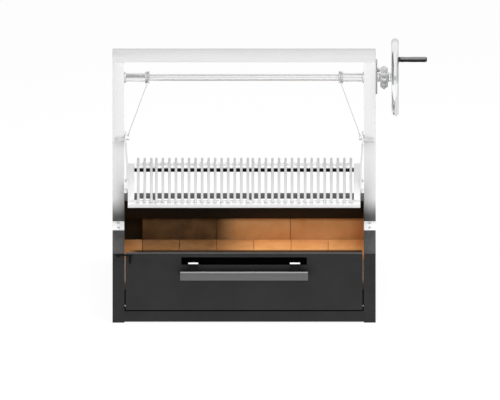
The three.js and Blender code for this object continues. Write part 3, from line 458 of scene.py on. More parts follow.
def fireBrick(name, soot, litTone, behindDoor=False):
    # soot gives a painted shadow: how much of the soot colour lies on the clay from the left wall, 0, to the
    # right wall, 1
    # litTone scales the clay's colour for each course; the floor's is a painted light
    def toned(*colour):
        return tuple(min(c * h, 1.0) for c, h in zip(colour, litTone))
    look = dict(
        clay=toned(0.76, 0.405, 0.165), pale=toned(0.86, 0.53, 0.27), burnt=toned(0.52, 0.245, 0.095),
        soot=(0.030, 0.019, 0.011), fleck=(0.24, 0.12, 0.055), cloud=(16, 6, 0.6), patch=(0.35, 0.7),
        burning=(0, 1, 0, 0.3), fleckCells=330, fleckSize=(0.10, 0.20, 0.75, 0),
        fleckPlace=((60, 3, 0.5), (0.45, 0.65)), gloss=(0.3, 0.7, 0.82, 0.96), pitCells=420,
        pits=(0.0, 0.16), pitShare=0.55, grit=(700, 5, 0.65), relief=(0.42, 0.0011),
    )
    skin = Finish(name, look["clay"], shine=0.18)
    tone = skin.node("Attribute", attribute_type="GEOMETRY", attribute_name="brickTone").outputs["Fac"]
    cloud = skin.noise(*look["cloud"])
    skin.tint(skin.spread(cloud, *look["patch"]), look["pale"])
    skin.tint(skin.spread(tone, *look["burning"]), look["burnt"])
    fleck = skin.spread(skin.cells(look["fleckCells"]), *look["fleckSize"])
    fleck = skin.times(fleck, skin.patches(*look["fleckPlace"]))
    skin.tint(fleck, look["fleck"])
    x, y = skin.along("X"), skin.along("Y")
    # painted shadow in the soot colour, varying from the left wall to the right
    if soot:
        paintedShadow = dict(halfWidth=0.4, wander=(11, 5, 0.6), middle=0.5, wide=0.03, wanderFrom=(-0.25, -0.2),
                    uneven=((28, 6, 0.65), (0.2, 0.7, 0.82, 1.0)))
        wander = skin.reckon("SUBTRACT", skin.noise(*paintedShadow["wander"]), paintedShadow["middle"])
        wander = skin.times(wander, paintedShadow["wide"])
        across = skin.reckon("ADD", x, skin.times(wander, skin.spread(x, *paintedShadow["wanderFrom"])))
        share = skin.ramp(skin.spread(across, -paintedShadow["halfWidth"], paintedShadow["halfWidth"]), soot)
        skin.tint(skin.times(share, skin.patches(*paintedShadow["uneven"])), look["soot"])
    if behindDoor:
        # painted shade: the floor in the door's shade and the front rows are darkened with the soot colour,
        # and a painted light makes the clay pale along both side walls at the front
        shade = dict(ash=(0.27, 0.225, 0.19), strip=(0.119, 0.136, 0.95, 0), left=(-0.362, -0.330),
                     right=(0.364, 0.3665, 1, 0), beside=(0.364, 0.3665, 0, 0.9), paleLightEnd=(0.02, 0.06, 1, 0),
                     front=(-0.245, -0.155, 0.93, 0))
        strip = skin.times(skin.eased(y, *shade["strip"]), skin.spread(x, *shade["left"]))
        strip = skin.times(strip, skin.spread(x, *shade["right"]))
        # painted light: the clay is paler and greyer along both side walls at the front
        ash = skin.spread(skin.reckon("ABSOLUTE", x), *shade["beside"])
        ash = skin.times(ash, skin.spread(y, *shade["paleLightEnd"]))
        skin.tint(ash, shade["ash"])
        # painted shade towards the door
        front = skin.eased(y, *shade["front"])
        skin.tint(skin.reckon("MAXIMUM", strip, front), look["soot"])
    pits = skin.times(skin.spread(skin.cells(look["pitCells"]), *look["pits"]), look["pitShare"])
    grit = skin.reckon("ADD", skin.noise(*look["grit"]), pits)
    return skin.done(skin.spread(cloud, *look["gloss"]), grit, look["relief"])


paint = powderPaint("blackPowderPaint")
# the rear flange's lip under the grease tray carries the painted shade
flangePaint = powderPaint("flangePowderPaint", 0.2215)
soot = sootySteel("sootySteel", (0.055, 0.042, 0.027), (0.078, 0.058, 0.038), 0.14)
# painted shade: the near-black baffle makes the vent slot look dark
paintedSlotShade = sootySteel("paintedSlotShade", (0.0006, 0.0006, 0.0006), (0.002, 0.0018, 0.0016), 0.02)
oxide = mottled(
    "blackOxide", (0.0022, 0.0022, 0.0023), (0.009, 0.009, 0.009), patch=((260, 5, 0.6), (0.5, 0.8, 0, 0.6)),
    gloss=((120, 4, 0.6), (0.3, 0.7, 0.5, 0.68)), grain=(1500, 3, 0.5), relief=(0.08, 0.0003), shine=0.16,
)
steelY = brushedSteel("stainlessDeep", "Y", (0.77, 0.77, 0.773), 0.36, 0.55)
# the uprights carry a painted reflection at the foot and a painted shade above 0.312 m
steelZ = brushedSteel("stainlessUpright", "Z", (0.89, 0.89, 0.892), 0.46, 0.45, 1.0, 0.312)
beamSteel = brushedSteel("stainlessBeam", "X", (0.86, 0.86, 0.864), 0.26, 0.95)
plateSteel = brushedSteel("stainlessPlate", "Z", (0.88, 0.88, 0.882), 0.30, 0.7)
blastedSteel = brushedSteel("blastedFoot", "Y", (0.86, 0.86, 0.86), 0.55, 0.15)
traySteel = brushedSteel("stainlessTray", "X", (0.84, 0.84, 0.84), 0.38, 0.5)
frontSteel = brushedSteel("stainlessFront", "X", (0.79, 0.79, 0.79), 0.40, 0.35)
satinSteel = brushedSteel("satinBar", "X", (0.97, 0.97, 0.97), 0.50, 0.1)
# its lower front face gets a painted shade
frontShadeSteel = brushedSteel("frontShadeTube", "X", (0.97, 0.97, 0.97), 0.45, 0.15, 0.8, "front")
rodSteel = brushedSteel("drawnRod", "Y", (0.87, 0.87, 0.874), 0.31, 0.9, 1.4)
rollerSteel = brushedSteel("turnedRoller", "X", (0.86, 0.86, 0.863), 0.42, 0.95)
shaftSteel = brushedSteel("turnedShaft", "X", (0.92, 0.92, 0.925), 0.20, 0.9, 1.2)
chrome = smeared(
    "polishedChrome", 1.0, (0.95, 0.953, 0.96), (0.9025, 0.90535, 0.912), smear=(34, 5, 0.55),
    patch=(0.35, 0.8), gloss=(0.35, 0.75, 0.05, 0.11), grain=(160, 2, 0.4), relief=(0.012, 0.0004),
)
zinc = zincPlate("zincPlate")
starZinc = zincPlate("starZinc", (0.60, 0.603, 0.606), 0.70, 0.55)
dullZinc = zincPlate("dullZinc", (0.36, 0.362, 0.365), 0.50, 0.5)
cableFinish = smeared(
    "cableSteel", 0.7, (0.78, 0.785, 0.79), (0.50, 0.505, 0.51), smear=(420, 4, 0.6),
    patch=(0.4, 0.75), gloss=(0.3, 0.7, 0.28, 0.45),
)
handleFinish = handleSteel()
gripFinish = gripPlastic()
# painted shadow ramps for the floor and rear bricks, from the left wall to the right
floorShadowRamp = ((0, 0.56), (0.103, 0.56), (0.105, 0.75), (0.375, 0.81), (0.56, 0), (0.80, 0), (0.87, 0.22))
rearShadowRamp = ((0, 0.92), (0.400, 0.89), (0.475, 0), (1.0, 0))
# the floor's tone is brighter and warmer than the walls', a painted light
floorBrickClay = fireBrick("floorBrickClay", floorShadowRamp, (1.17, 0.96, 0.74), True)
rearBrickClay = fireBrick("rearBrickClay", rearShadowRamp, (0.95, 0.93, 0.86))
sideBrickClay = fireBrick("sideBrickClay", (), (0.95, 0.95, 0.95))
mortar = mottled(
    "mortarBed", (0.055, 0.030, 0.017), (0.10, 0.058, 0.033), patch=((140, 6, 0.6), (0, 1)),
    gloss=((80, 3, 0.5), (0.3, 0.7, 0.85, 0.98)), grain=(900, 5, 0.65), relief=(0.5, 0.001), shine=0.15,
)
# a pale plate that stands in for the highlight on the clips' top faces, a painted highlight
paintedHighlightPlate = brushedSteel("paintedHighlightSteel", "Y", (0.95, 0.95, 0.95), 0.62, 0.1)
print("finishes made:", len(bpy.data.materials))


# firebox sheets

def buildFirebox():
    sheet = dict(bevel=0.0008, innerBevel=0.0006)
    for name in (
        "left_side_panel", "right_side_panel", "back_panel", "left_front_post", "right_front_post",
        "front_rail", "bottom_pan",
    ):
        dressNode(name, "firebox", paint, "black_paint", sheet["bevel"])
    dressNode("rear_flange", "firebox", flangePaint, "black_paint", sheet["bevel"])
    for name in ("floor_plate", "rear_liner"):
        dressNode(name, "firebox", soot, "inner_steel", sheet["innerBevel"])
    # spot welds where the rear flange is joined to the sides
    weld = dict(radius=0.0026, sink=0.0021, count=5, inset=0.018)
    low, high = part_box("rear_flange")
    bm = bmesh.new()
    for x in (low.x + weld["inset"], high.x - weld["inset"]):
        for step in range(weld["count"]):
            y = low.y + (high.y - low.y) * (step + 0.5) / weld["count"]
            addBead(bm, (x, y, high.z - weld["sink"]), weld["radius"], around=20, rings=10)
    finishPiece(bm, "flange_spot_welds", "firebox", paint)


# fire bricks, each with its own tone, eased edges and a chipped corner here and there

brickSet = dict(
    length=0.2286, width=0.1143, joint=0.001, edge=0.0016, chipChance=0.35, chipSize=0.0055,
    bedDepth=0.008, bedInset=0.001, bedLift=0.0005, lean=0.3,
)


def brickRows(front, rear):
    rows = []
    while rear - front > brickSet["joint"]:
        rows.append((max(rear - brickSet["length"], front), rear))
        rear -= brickSet["length"] + brickSet["joint"]
    return rows


def addBrick(target, low, high, inward):
    # only corners on the inward side are chipped, as the others lie against metal or brick
    bm = newBox(low, high)
    layer = bm.faces.layers.float.new("brickTone")
    middle = Vector(middleOf(low, high))
    chance = brickSet["chipChance"]
    corners = [v for v in bm.verts if dice.random() < chance and (v.co - middle).dot(inward) > 0]
    if corners:
        bevelParts(bm, corners[:2], brickSet["chipSize"] * dice.uniform(0.5, 1), 1, "VERTICES")
    bevelSharp(bm, brickSet["edge"], sharper=20)
    tone = dice.random()
    for face in bm.faces:
        face[layer] = tone
    pourInto(target, bm)


def buildCourse(label, node, clay, inward, bricks, bedLow, bedHigh):
    # bricks are given by their low and high corners, and inward is where their open side looks
    bm = bmesh.new()
    bm.faces.layers.float.new("brickTone")
    for low, high in bricks:
        addBrick(bm, low, high, Vector(inward))
    finishPiece(bm, label + "_bricks", "firebox", clay, node)
    finishPiece(newBox(bedLow, bedHigh), label + "_bed", "firebox", mortar)


def buildBricks():
    depth, inset, joint, lean = (brickSet[key] for key in ("bedDepth", "bedInset", "joint", "lean"))
    low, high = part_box("floor_bricks")
    rearLow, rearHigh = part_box("rear_bricks")
    left = rearLow.x
    columns = [(low.x, left - joint)]
    while left < high.x:
        columns.append((left, min(left + brickSet["width"], high.x)))
        left += brickSet["width"] + joint
    rows = brickRows(low.y, high.y)
    bricks = [((x[0], y[0], low.z), (x[1], y[1], high.z)) for y in rows for x in columns]
    buildCourse(
        "hearth_floor", "floor_bricks", floorBrickClay, (0, 0, 1), bricks,
        (low.x + inset, low.y + inset, low.z), (high.x - inset, high.y - inset, high.z - depth),
    )

    low, high = rearLow, rearHigh
    starts = [low.x + count * (brickSet["length"] + joint) for count in range(3)]
    buildCourse(
        "hearth_rear", "rear_bricks", rearBrickClay, (0, -1, lean),
        [((x, low.y, low.z), (x + brickSet["length"], high.y, high.z)) for x in starts],
        (low.x + inset, low.y + depth, low.z), (high.x - inset, high.y, high.z - depth),
    )

    for side, inside in (("left", 1), ("right", -1)):
        low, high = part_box(side + "_bricks")
        start, end = (low.x + depth, high.x) if inside < 0 else (low.x, high.x - depth)
        buildCourse(
            side + "_hearth", side + "_bricks", sideBrickClay, (inside, 0, lean),
            [((low.x, near, low.z), (high.x, far, high.z)) for near, far in brickRows(low.y, high.y)],
            (start, low.y + inset, low.z + brickSet["bedLift"]), (end, high.y - inset, high.z - depth),
        )


buildFirebox()
buildBricks()
print("firebox built")


# drop door with its handle and latch

def buildDoor():
    dressNode("door_panel", "door", paint, "black_paint", bevel=0.0009)
    # the baffle behind the vent slot is near-black, a painted shade
    dressNode("vent_baffle", "door", paintedSlotShade, "inner_steel", bevel=0.0004)

    bar = dict(bevel=0.0013, segments=3)
    bm = newBox(*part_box("handle_bar"), bar["bevel"], bar["segments"])
    finishNode(bm, "handle_bar", "door", handleFinish)

    clip = dict(thick=0.0062, hook=0.0245, bevel=0.0007, neck=0.023, neckDeep=0.004)
    plate = dict(thick=0.0012, start=0.012, end=0.0385, inset=0.0004, bevel=0.0004)
    for side in ("left", "right"):
        # a dark clip that hooks through the slot, with a pale plate on top of it that is a painted highlight
        name = side + "_handle_bracket"
        low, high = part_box(name)
        middle = middleOf(low, high)[0]
        seat, under, bevel = high.z - plate["thick"], high.z - clip["thick"], clip["bevel"]
        near, far = middle - clip["neck"] / 2, middle + clip["neck"] / 2
        bm = joined(
            newBox((low.x, low.y, under), (high.x, high.y, seat), bevel),
            newBox((low.x, high.y - clip["neckDeep"], high.z - clip["hook"]), (high.x, high.y, under), bevel),
            newBox((near, low.y, low.z), (far, low.y + clip["neckDeep"], under), bevel),
        )
        finishPiece(bm, name + "_clip", "door", oxide, name)
        bm = newBox(
            (low.x + plate["inset"], low.y + plate["start"], seat),
            (high.x - plate["inset"], min(low.y + plate["end"], high.y), high.z), plate["bevel"],
        )
        finishPiece(bm, name + "_painted_highlight_plate", "door", paintedHighlightPlate)

    dressNode("latch_lever", "latch_lever", oxide, "black_paint", bevel=0.0006)
    low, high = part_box("latch_pivot")
    x, _, z = middleOf(low, high)
    radius, long = (high.x - low.x) / 2, high.y - low.y
    head = dict(height=0.002, shank=0.0016, face=0.72, slope=0.55, bevel=0.0003)
    height, shank = head["height"], head["shank"]
    bm = newTurned([
        (0, 0), (radius * head["face"], 0), (radius, height * head["slope"]), (radius, height),
        (shank, height), (shank, long), (0, long),
    ], (x, low.y, z), "Y", steps=32, bevel=head["bevel"])
    finishPiece(bm, "latch_pivot_screw", "door", oxide, "latch_pivot")

    for side in ("left", "right"):
        name = side + "_hinge_pin"
        low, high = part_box(name)
        _, y, z = middleOf(low, high)
        bm = newBar((low.x, y, z), (high.x, y, z), (high.z - low.z) / 2, sides=32, bevel=0.0005)
        finishNode(bm, name, "firebox", zinc)


buildDoor()
print("door built")


# arch of square tube on bolted feet

def buildArch():
    tube = dict(bevel=0.0016, segments=3, sharper=60)
    for name, look in (("left_upright", steelZ), ("right_upright", steelZ), ("top_crossbar", beamSteel)):
        dressNode(name, "firebox", look, "stainless", **tube)

    foot = dict(thick=0.003, bevel=0.0006)
    bolt = dict(wide=0.009, high=0.004, shank=0.003, inset=0.018, hold=0.001)
    weld = dict(count=22, margin=0.001, radius=0.0013, lift=0.0003)
    for side in ("left", "right"):
        low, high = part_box(side + "_foot_plate")
        top = high.z - bolt["high"]
        middle = (low.x + high.x) / 2
        bm = newBox((low.x, low.y, top - foot["thick"]), (high.x, high.y, top), foot["bevel"])
        finishNode(bm, side + "_foot_plate", "firebox", blastedSteel)
        upLow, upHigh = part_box(side + "_upright")
        bm, inset = bmesh.new(), bolt["inset"]
        for y in (low.y + inset, upLow.y - inset, upHigh.y + inset, high.y - inset):
            pourInto(bm, newHexHead((middle, y, top), bolt["wide"], bolt["high"]))
            pourInto(bm, newBar((middle, y, low.z), (middle, y, top + bolt["hold"]), bolt["shank"], sides=16))
        finishPiece(bm, side + "_foot_bolts", "firebox", zinc)
        # weld beads at the front and rear of the upright
        bm = bmesh.new()
        for y in (upLow.y, upHigh.y):
            for step in range(weld["count"]):
                run = upHigh.x - upLow.x - 2 * weld["margin"]
                x = upLow.x + weld["margin"] + run * (step + 0.5) / weld["count"]
                addBead(bm, (x, y, top + weld["lift"]), weld["radius"])
        finishPiece(bm, side + "_foot_weld", "firebox", blastedSteel)


# lift shaft and what turns with it

shaftSpot = Vector((0, 0.0225, 0.690))
shaftBore = 0.0108


def onShaft(x):
    return x, shaftSpot.y, shaftSpot.z


def buildShaft():
    shaft = dict(radius=0.0105, steps=64, chamfer=0.0009)
    low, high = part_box("lift_shaft")
    bm = newBar(onShaft(low.x), onShaft(high.x), shaft["radius"], shaft["steps"], shaft["chamfer"])
    finishNode(bm, "lift_shaft", "crank", shaftSteel)

    drum = dict(core=0.0160, flange=0.0210, thin=0.0011, wide=0.0135, sleeve=0.0135, round=0.0004)
    screw = dict(along=0.012, sink=0.0004, radius=0.0022, socket=0.0012, low=-0.002, high=0.0006)
    bearing = dict(flange=0.017, barrel=0.014, bore=0.0113, thick=0.0042, round=0.0005)
    for side, sign in bothSides:
        near, end = sorted(abs(corner.x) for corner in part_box(side + "_drum"))
        far = near + drum["wide"]
        inner, outer = near + drum["thin"], far - drum["thin"]
        flange = drum["flange"]
        steps = (flange, inner), (drum["core"], outer), (flange, far), (drum["sleeve"], end)
        bm = newTurned(stepped(shaftBore, near, *steps), shaftSpot, bevel=drum["round"], sign=sign)
        finishNode(bm, side + "_drum", "crank", shaftSteel)
        # grub screw that locks the sleeve to the shaft
        top = shaftSpot.z + drum["sleeve"] - screw["sink"]
        steps = (screw["radius"], screw["high"]), (screw["socket"], -screw["high"])
        profile = stepped(0, screw["low"], *steps)
        bm = newTurned(profile, (sign * (far + screw["along"]), shaftSpot.y, top), "Z", steps=24)
        finishPiece(bm, side + "_drum_screw", "crank", zinc)

        face, end = sorted(abs(corner.x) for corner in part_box(side + "_bearing"))
        steps = (bearing["flange"], face + bearing["thick"]), (bearing["barrel"], end)
        profile = stepped(bearing["bore"], face, *steps)
        bm = newTurned(profile, shaftSpot, bevel=bearing["round"], sign=sign)
        finishNode(bm, side + "_bearing", "firebox", zinc)


# wire rope: six strands round a core, wound on the drums and hanging to the carriage

ropeSet = dict(
    radius=0.0012, wire=0.00042, coreGap=1.7, strands=6, sides=5, drumRadius=0.0175, pitch=0.0029,
    turns=3, climb=0.003, climbTurns=0.5, drumAt=0.300, lead=0.026, woundSteps=150, woundLay=22,
    eyeAt=0.3607, hungSteps=90, hungLay=12, topTrim=0.0002, eyeTrim=0.0004,
)


def newRope(pathPoint, steps, lay):
    # pathPoint gives the point, the way on and the way out at each share of the length
    whole = bmesh.new()
    wire, count = ropeSet["wire"], ropeSet["strands"]
    for strand in range(count + 1):
        bm = bmesh.new()
        radius = wire if strand else ropeSet["radius"] - ropeSet["coreGap"] * wire
        reach = (ropeSet["radius"] - wire) if strand else 0.0
        rings = []
        for step in range(steps + 1):
            share = step / steps
            spot, tangent, out = pathPoint(share)
            across = tangent.cross(out).normalized()
            angle = 2 * math.pi * (lay * share + strand / count)
            centre = spot + (out * math.cos(angle) + across * math.sin(angle)) * reach
            place = Matrix.Translation(centre) @ Matrix((out, across, tangent)).transposed().to_4x4()
            made = bmesh.ops.create_circle(
                bm, cap_ends=False, radius=radius, segments=ropeSet["sides"], matrix=place,
            )
            rings.append(made["verts"])
        for first, second in zip(rings, rings[1:]):
            near = dict.fromkeys(e for v in first + second for e in v.link_edges if len(e.link_faces) < 2)
            loops = [e for e in near if set(e.verts) <= set(first) or set(e.verts) <= set(second)]
            bmesh.ops.bridge_loops(bm, edges=loops)
        for ring in (rings[0], rings[-1]):
            bmesh.ops.contextual_create(bm, geom=ring)
        pourInto(whole, bm)
    return whole


def cableEnds(side, sign, topTrim=0.0, eyeTrim=0.0):
    low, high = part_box(side + "_cable")
    y = (low.y + high.y) / 2
    top = ropeSet["drumAt"] - ropeSet["pitch"] * ropeSet["turns"] / 2
    return Vector((sign * top, y, high.z - topTrim)), Vector((sign * ropeSet["eyeAt"], y, low.z + eyeTrim))


def buildCables():
    turns = ropeSet["turns"]
    for side, sign in bothSides:
        def woundPoint(share):  # the last half turn climbs smoothly off the others
            turn = share * turns
            t = min(max((turn - turns) / ropeSet["climbTurns"] + 1, 0), 1)
            radius = ropeSet["drumRadius"] + ropeSet["climb"] * t * t * (3 - 2 * t)
            angle = math.pi + 2 * math.pi * turn
            away = Vector((0, math.cos(angle), math.sin(angle)))
            tangent = Vector((-sign * ropeSet["lead"], -math.sin(angle), math.cos(angle))).normalized()
            out = (away - tangent * away.dot(tangent)).normalized()
            along = ropeSet["drumAt"] + ropeSet["pitch"] * (turns / 2 - turn)
            return shaftSpot + Vector((sign * along, 0, 0)) + away * radius, tangent, out
        bm = newRope(woundPoint, ropeSet["woundSteps"], ropeSet["woundLay"])
        finishPiece(bm, side + "_winding_rope", "crank", cableFinish, side + "_winding")

        start, end = cableEnds(side, sign, ropeSet["topTrim"], ropeSet["eyeTrim"])
        tangent, out = (end - start).normalized(), Vector((0, -1, 0))

        def hungPoint(share):
            return start.lerp(end, share), tangent, out
        bm = newRope(hungPoint, ropeSet["hungSteps"], ropeSet["hungLay"])
        piece = finishPiece(bm, side + "_cable_rope", None, cableFinish)
        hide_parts(side + "_cable")
        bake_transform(piece)


def turnIntoPlace(bm, count, total, spot):  # for a tooth or a spoke made upright at the origin
    angle = 2 * math.pi * count / total
    bmesh.ops.rotate(bm, verts=bm.verts, cent=(0, 0, 0), matrix=Matrix.Rotation(angle, 3, "X"))
    bmesh.ops.translate(bm, verts=bm.verts, vec=spot)


def buildStarWheel():
    star = dict(core=0.029, bevel=0.0006, teeth=12)
    tooth = dict(seat=0.0272, tip=0.039, wide=0.024, base=0.0150, bevel=0.0005)
    low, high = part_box("ratchet_wheel")
    spot = onShaft((low.x + high.x) / 2)
    profile = stepped(shaftBore, low.x, (star["core"], high.x))
    whole = newTurned(profile, shaftSpot, steps=96, bevel=star["bevel"])
    tall = tooth["tip"] - tooth["seat"]
    for count in range(star["teeth"]):
        bm = bmesh.new()
        bmesh.ops.create_cone(
            bm, cap_ends=True, segments=4, radius1=math.sqrt(0.5), radius2=0.0, depth=1.0,
            matrix=Matrix.Rotation(math.pi / 4, 4, "Z"),
        )
        bmesh.ops.scale(bm, verts=bm.verts, vec=(tooth["wide"], tooth["base"], tall))
        bmesh.ops.translate(bm, verts=bm.verts, vec=(0, 0, tooth["seat"] + tall / 2))
        turnIntoPlace(bm, count, star["teeth"], spot)
        bevelSharp(bm, tooth["bevel"], sharper=20)
        pourInto(whole, bm)
    finishPiece(whole, "star_wheel", "crank", starZinc, "ratchet_wheel", 30)


def buildHandWheel():
    low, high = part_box("wheel_hub")
    profile = stepped(shaftBore, low.x, ((high.z - low.z) / 2, high.x))
    bm = newTurned(profile, shaftSpot, bevel=0.001, segments=3)
    finishPiece(bm, "wheel_collar", "crank", chrome, "wheel_hub")

    low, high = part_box("hand_wheel")
    wheel = dict(steps=128, sides=40, hub=0.019, hubLong=0.017, hubRound=0.0015, spokes=3)
    spoke = dict(wide=0.024, thick=0.008, start=0.015, sunk=0.6, bevel=0.0032)
    bar = (high.x - low.x) / 2
    ring = (high.z - low.z) / 2 - bar
    spot = onShaft((low.x + high.x) / 2)
    hub = stepped(shaftBore, -wheel["hubLong"] / 2, (wheel["hub"], wheel["hubLong"] / 2))
    whole = joined(
        newRing(spot, ring, bar, wheel["steps"], wheel["sides"]),
        newTurned(hub, spot, bevel=wheel["hubRound"], segments=3),
    )
    wide, thick = spoke["wide"] / 2, spoke["thick"] / 2
    reach = ring - bar * spoke["sunk"]
    for count in range(wheel["spokes"]):
        bm = newBox((-thick, -wide, spoke["start"]), (thick, wide, reach), spoke["bevel"], segments=4)
        turnIntoPlace(bm, count, wheel["spokes"], spot)
        pourInto(whole, bm)
    finishNode(whole, "hand_wheel", "crank", chrome)

    low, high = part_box("hub_nut")
    nut = dict(hollow=0.0032, side=0.4, shoulder=0.85, shoulderWide=0.86, top=0.5, bevel=0.0004)
    radius, long = (high.z - low.z) / 2, high.x - low.x
    bm = newTurned([
        (0, nut["hollow"]), (shaftBore, nut["hollow"]), (shaftBore, 0), (radius, 0),
        (radius, long * nut["side"]), (radius * nut["shoulderWide"], long * nut["shoulder"]),
        (radius * nut["top"], long), (0, long),
    ], onShaft(low.x), bevel=nut["bevel"])
    finishPiece(bm, "hub_cap", "crank", chrome, "hub_nut")


def buildGrip():
    low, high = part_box("grip_spindle")
    _, y, z = middleOf(low, high)
    pin = dict(base=0.008, baseLong=0.004, rod=0.004, head=0.007, headLong=0.003, taper=0.8, rim=0.0008,
               bevel=0.0003)
    long = high.x - low.x
    neck = long - pin["headLong"]
    bm = newTurned([
        (0, 0), (pin["base"], 0), (pin["base"], pin["baseLong"]), (pin["rod"], pin["baseLong"]),
        (pin["rod"], neck), (pin["head"], neck), (pin["head"], long - pin["rim"]),
        (pin["head"] * pin["taper"], long), (0, long),
    ], (low.x, y, z), steps=48, bevel=pin["bevel"])
    finishNode(bm, "grip_spindle", "crank", oxide)

    low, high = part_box("grip")
    grip = dict(bore=0.0048, edge=0.0012, waist=0.0006)
    # how much of the waist is taken off at each share of the length
    swell = ((0.08, 0), (0.25, 1), (0.4, 0.3), (0.55, 0), (0.75, 0.5), (0.93, 0))
    r, long, edge = (high.z - low.z) / 2, high.x - low.x, grip["edge"]
    bm = newTurned([
        (grip["bore"], 0), (r - edge, 0), (r, edge),
        *[(r - grip["waist"] * taken, long * share) for share, taken in swell],
        (r, long - edge), (r - edge, long), (grip["bore"], long),
    ], (low.x, y, z))
    finishPiece(bm, "grip_sleeve", "grip", gripFinish, "grip")


def buildRatchet():
    dressNode("ratchet_plate", "firebox", dullZinc, "zinc_steel", bevel=0.0006)
    dressNode("pawl", "pawl", zinc, "zinc_steel", bevel=0.0006, sharper=40)
    low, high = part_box("pawl_pin")
    pin = dict(spacer=0.007, rod=0.004, play=0.0003, bevel=0.0004)
    pawlLow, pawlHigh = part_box("pawl")
    near, far = pawlLow.x - pin["play"], pawlHigh.x + pin["play"]
    profile = stepped(0, low.x, (pin["spacer"], near), (pin["rod"], far), (pin["spacer"], high.x))
    bm = newTurned(profile, (0, *middleOf(low, high)[1:]), steps=40, bevel=pin["bevel"])
    finishNode(bm, "pawl_pin", "firebox", zinc)


buildArch()
buildShaft()
buildCables()
buildStarWheel()
buildHandWheel()
buildGrip()
buildRatchet()
print("arch and lift built")


# grate carriage

def buildCarriage():
    ferrule = dict(start=0.0002, end=0.013, radius=0.0024, bevel=0.0006)
    roller = dict(bore=0.0033, bevel=0.0007)
    for side, sign in bothSides:
        dressNode(side + "_carriage_plate", "carriage", plateSteel, "stainless", bevel=0.0007)
        # swaged ferrule of the cable on the eye
        top, eye = cableEnds(side, sign)
        along = (top - eye).normalized()
        start, end = eye + along * ferrule["start"], eye + along * ferrule["end"]
        bm = newBar(start, end, ferrule["radius"], bevel=ferrule["bevel"])
        finishPiece(bm, side + "_cable_ferrule", "carriage", zinc)
        for place in ("front", "rear"):
            name = side + "_" + place + "_roller"
            low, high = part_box(name)
            profile = stepped(roller["bore"], low.x, ((high.z - low.z) / 2, high.x))
            spot = (0, *middleOf(low, high)[1:])
            bm = newTurned(profile, spot, steps=48, bevel=roller["bevel"], segments=3)
            finishNode(bm, name, name, rollerSteel)
    members = (("left", steelY), ("right", steelY), ("rear", frontShadeSteel), ("front", frontSteel))
    for place, look in members:
        dressNode(place + "_frame_member", "carriage", look, "stainless", bevel=0.0009, sharper=60)
    dressNode("grease_tray", "grease_tray", traySteel, "stainless", bevel=0.0006)


def buildGrate():
    # rods run from front to rear, as (depth, height), on two cross bars with a weld at each crossing
    rod = dict(radius=0.004, sides=20, end=0.0011, front=(-0.1855, 0.346), rear=(0.2285, 0.3635), inset=0.98)
    bar = dict(thick=0.006, gap=0.0003, sink=0.002, bevel=0.0007)
    weld = dict(radius=0.0019, aside=0.0031, sink=0.0028)
    frontY, frontZ = rod["front"]
    rearY, rearZ = rod["rear"]
    for name, count in (("grate_panel_left", 3), ("grate_panel_middle", 15), ("grate_panel_right", 16)):
        low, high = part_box(name)
        first = low.x + rod["radius"] * rod["inset"]
        last = high.x - rod["radius"] * rod["inset"]
        places = [first + (last - first) * index / (count - 1) for index in range(count)]
        ends = [((x, frontY, frontZ), (x, rearY, rearZ)) for x in places]
        bm = joined(*[newBar(*pair, rod["radius"], rod["sides"], rod["end"]) for pair in ends])
        finishPiece(bm, name + "_rods", "carriage", rodSteel, name)
        bm = bmesh.new()
        for member, y in (("rear_frame_member", 0.2045), ("front_frame_member", -0.1415)):
            height = frontZ + (y - frontY) / (rearY - frontY) * (rearZ - frontZ)
            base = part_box(member)[1].z + bar["gap"]
            near, far = y - bar["thick"] / 2, y + bar["thick"] / 2
            pourInto(bm, newBox((low.x, near, base), (high.x, far, height - bar["sink"]), bar["bevel"]))
            for x in places:
                for step in (-1, 1):
                    addBead(bm, (x + step * weld["aside"], y, height - weld["sink"]), weld["radius"])
        finishPiece(bm, name + "_cross_bars", "carriage", satinSteel)


buildCarriage()
buildGrate()
print("carriage and grate built")


# studio: white floor, soft lamps and the photograph's camera

def raysSeen(graph):
    # the first is 1 for the camera, mirror and see-through rays, and 0 for light that bounces
    rays = graph.node("LightPath").outputs
    seen = rays["Is Camera Ray"]
    for ray in ("Is Glossy Ray", "Is Transmission Ray"):
        seen = graph.reckon("MAXIMUM", seen, rays[ray])
    return seen, rays["Is Glossy Ray"]


def buildFloor():
    # polished metal sees the floor greyer far behind the grill, and at the right under the hand wheel
    sheet = dict(size=14.0, sink=0.0004, shade=(0.86, 0.86, 0.86), white=0.93)
    behind = (1.5, 2.1, 0, 0.38)
    wheel = dict(x=(0.42, 0.48, 0, 0.28), y=(-0.80, -0.60, 0, 1))
    graph = Graph(bpy.data.materials.new("studioWhite"))
    matte = graph.node("BsdfDiffuse")
    graph.feed(sheet["shade"], matte.inputs["Color"])
    glow = graph.node("Emission")
    seen, glossy = raysSeen(graph)
    place = graph.split(graph.node("TexCoord").outputs["Object"])
    beside = graph.times(graph.eased(place["X"], *wheel["x"]), graph.eased(place["Y"], *wheel["y"]))
    grey = graph.reckon("MAXIMUM", graph.eased(place["Y"], *behind), beside)
    lost = graph.times(glossy, grey)
    graph.feed(graph.reckon("SUBTRACT", 1.0, lost), glow.inputs["Strength"])
    shares = (graph.times(seen, sheet["white"]), matte.outputs[0], glow.outputs[0])
    mixed = graph.fill(graph.node("MixShader"), range(3), shares)
    graph.feed(mixed, graph.node("OutputMaterial").inputs["Surface"])
    bm = bmesh.new()
    level = Matrix.Translation((0, 0, -sheet["sink"]))
    bmesh.ops.create_grid(bm, x_segments=1, y_segments=1, size=sheet["size"] / 2, matrix=level)
    floor = meshObject(bm, "studioFloor", graph.owner)


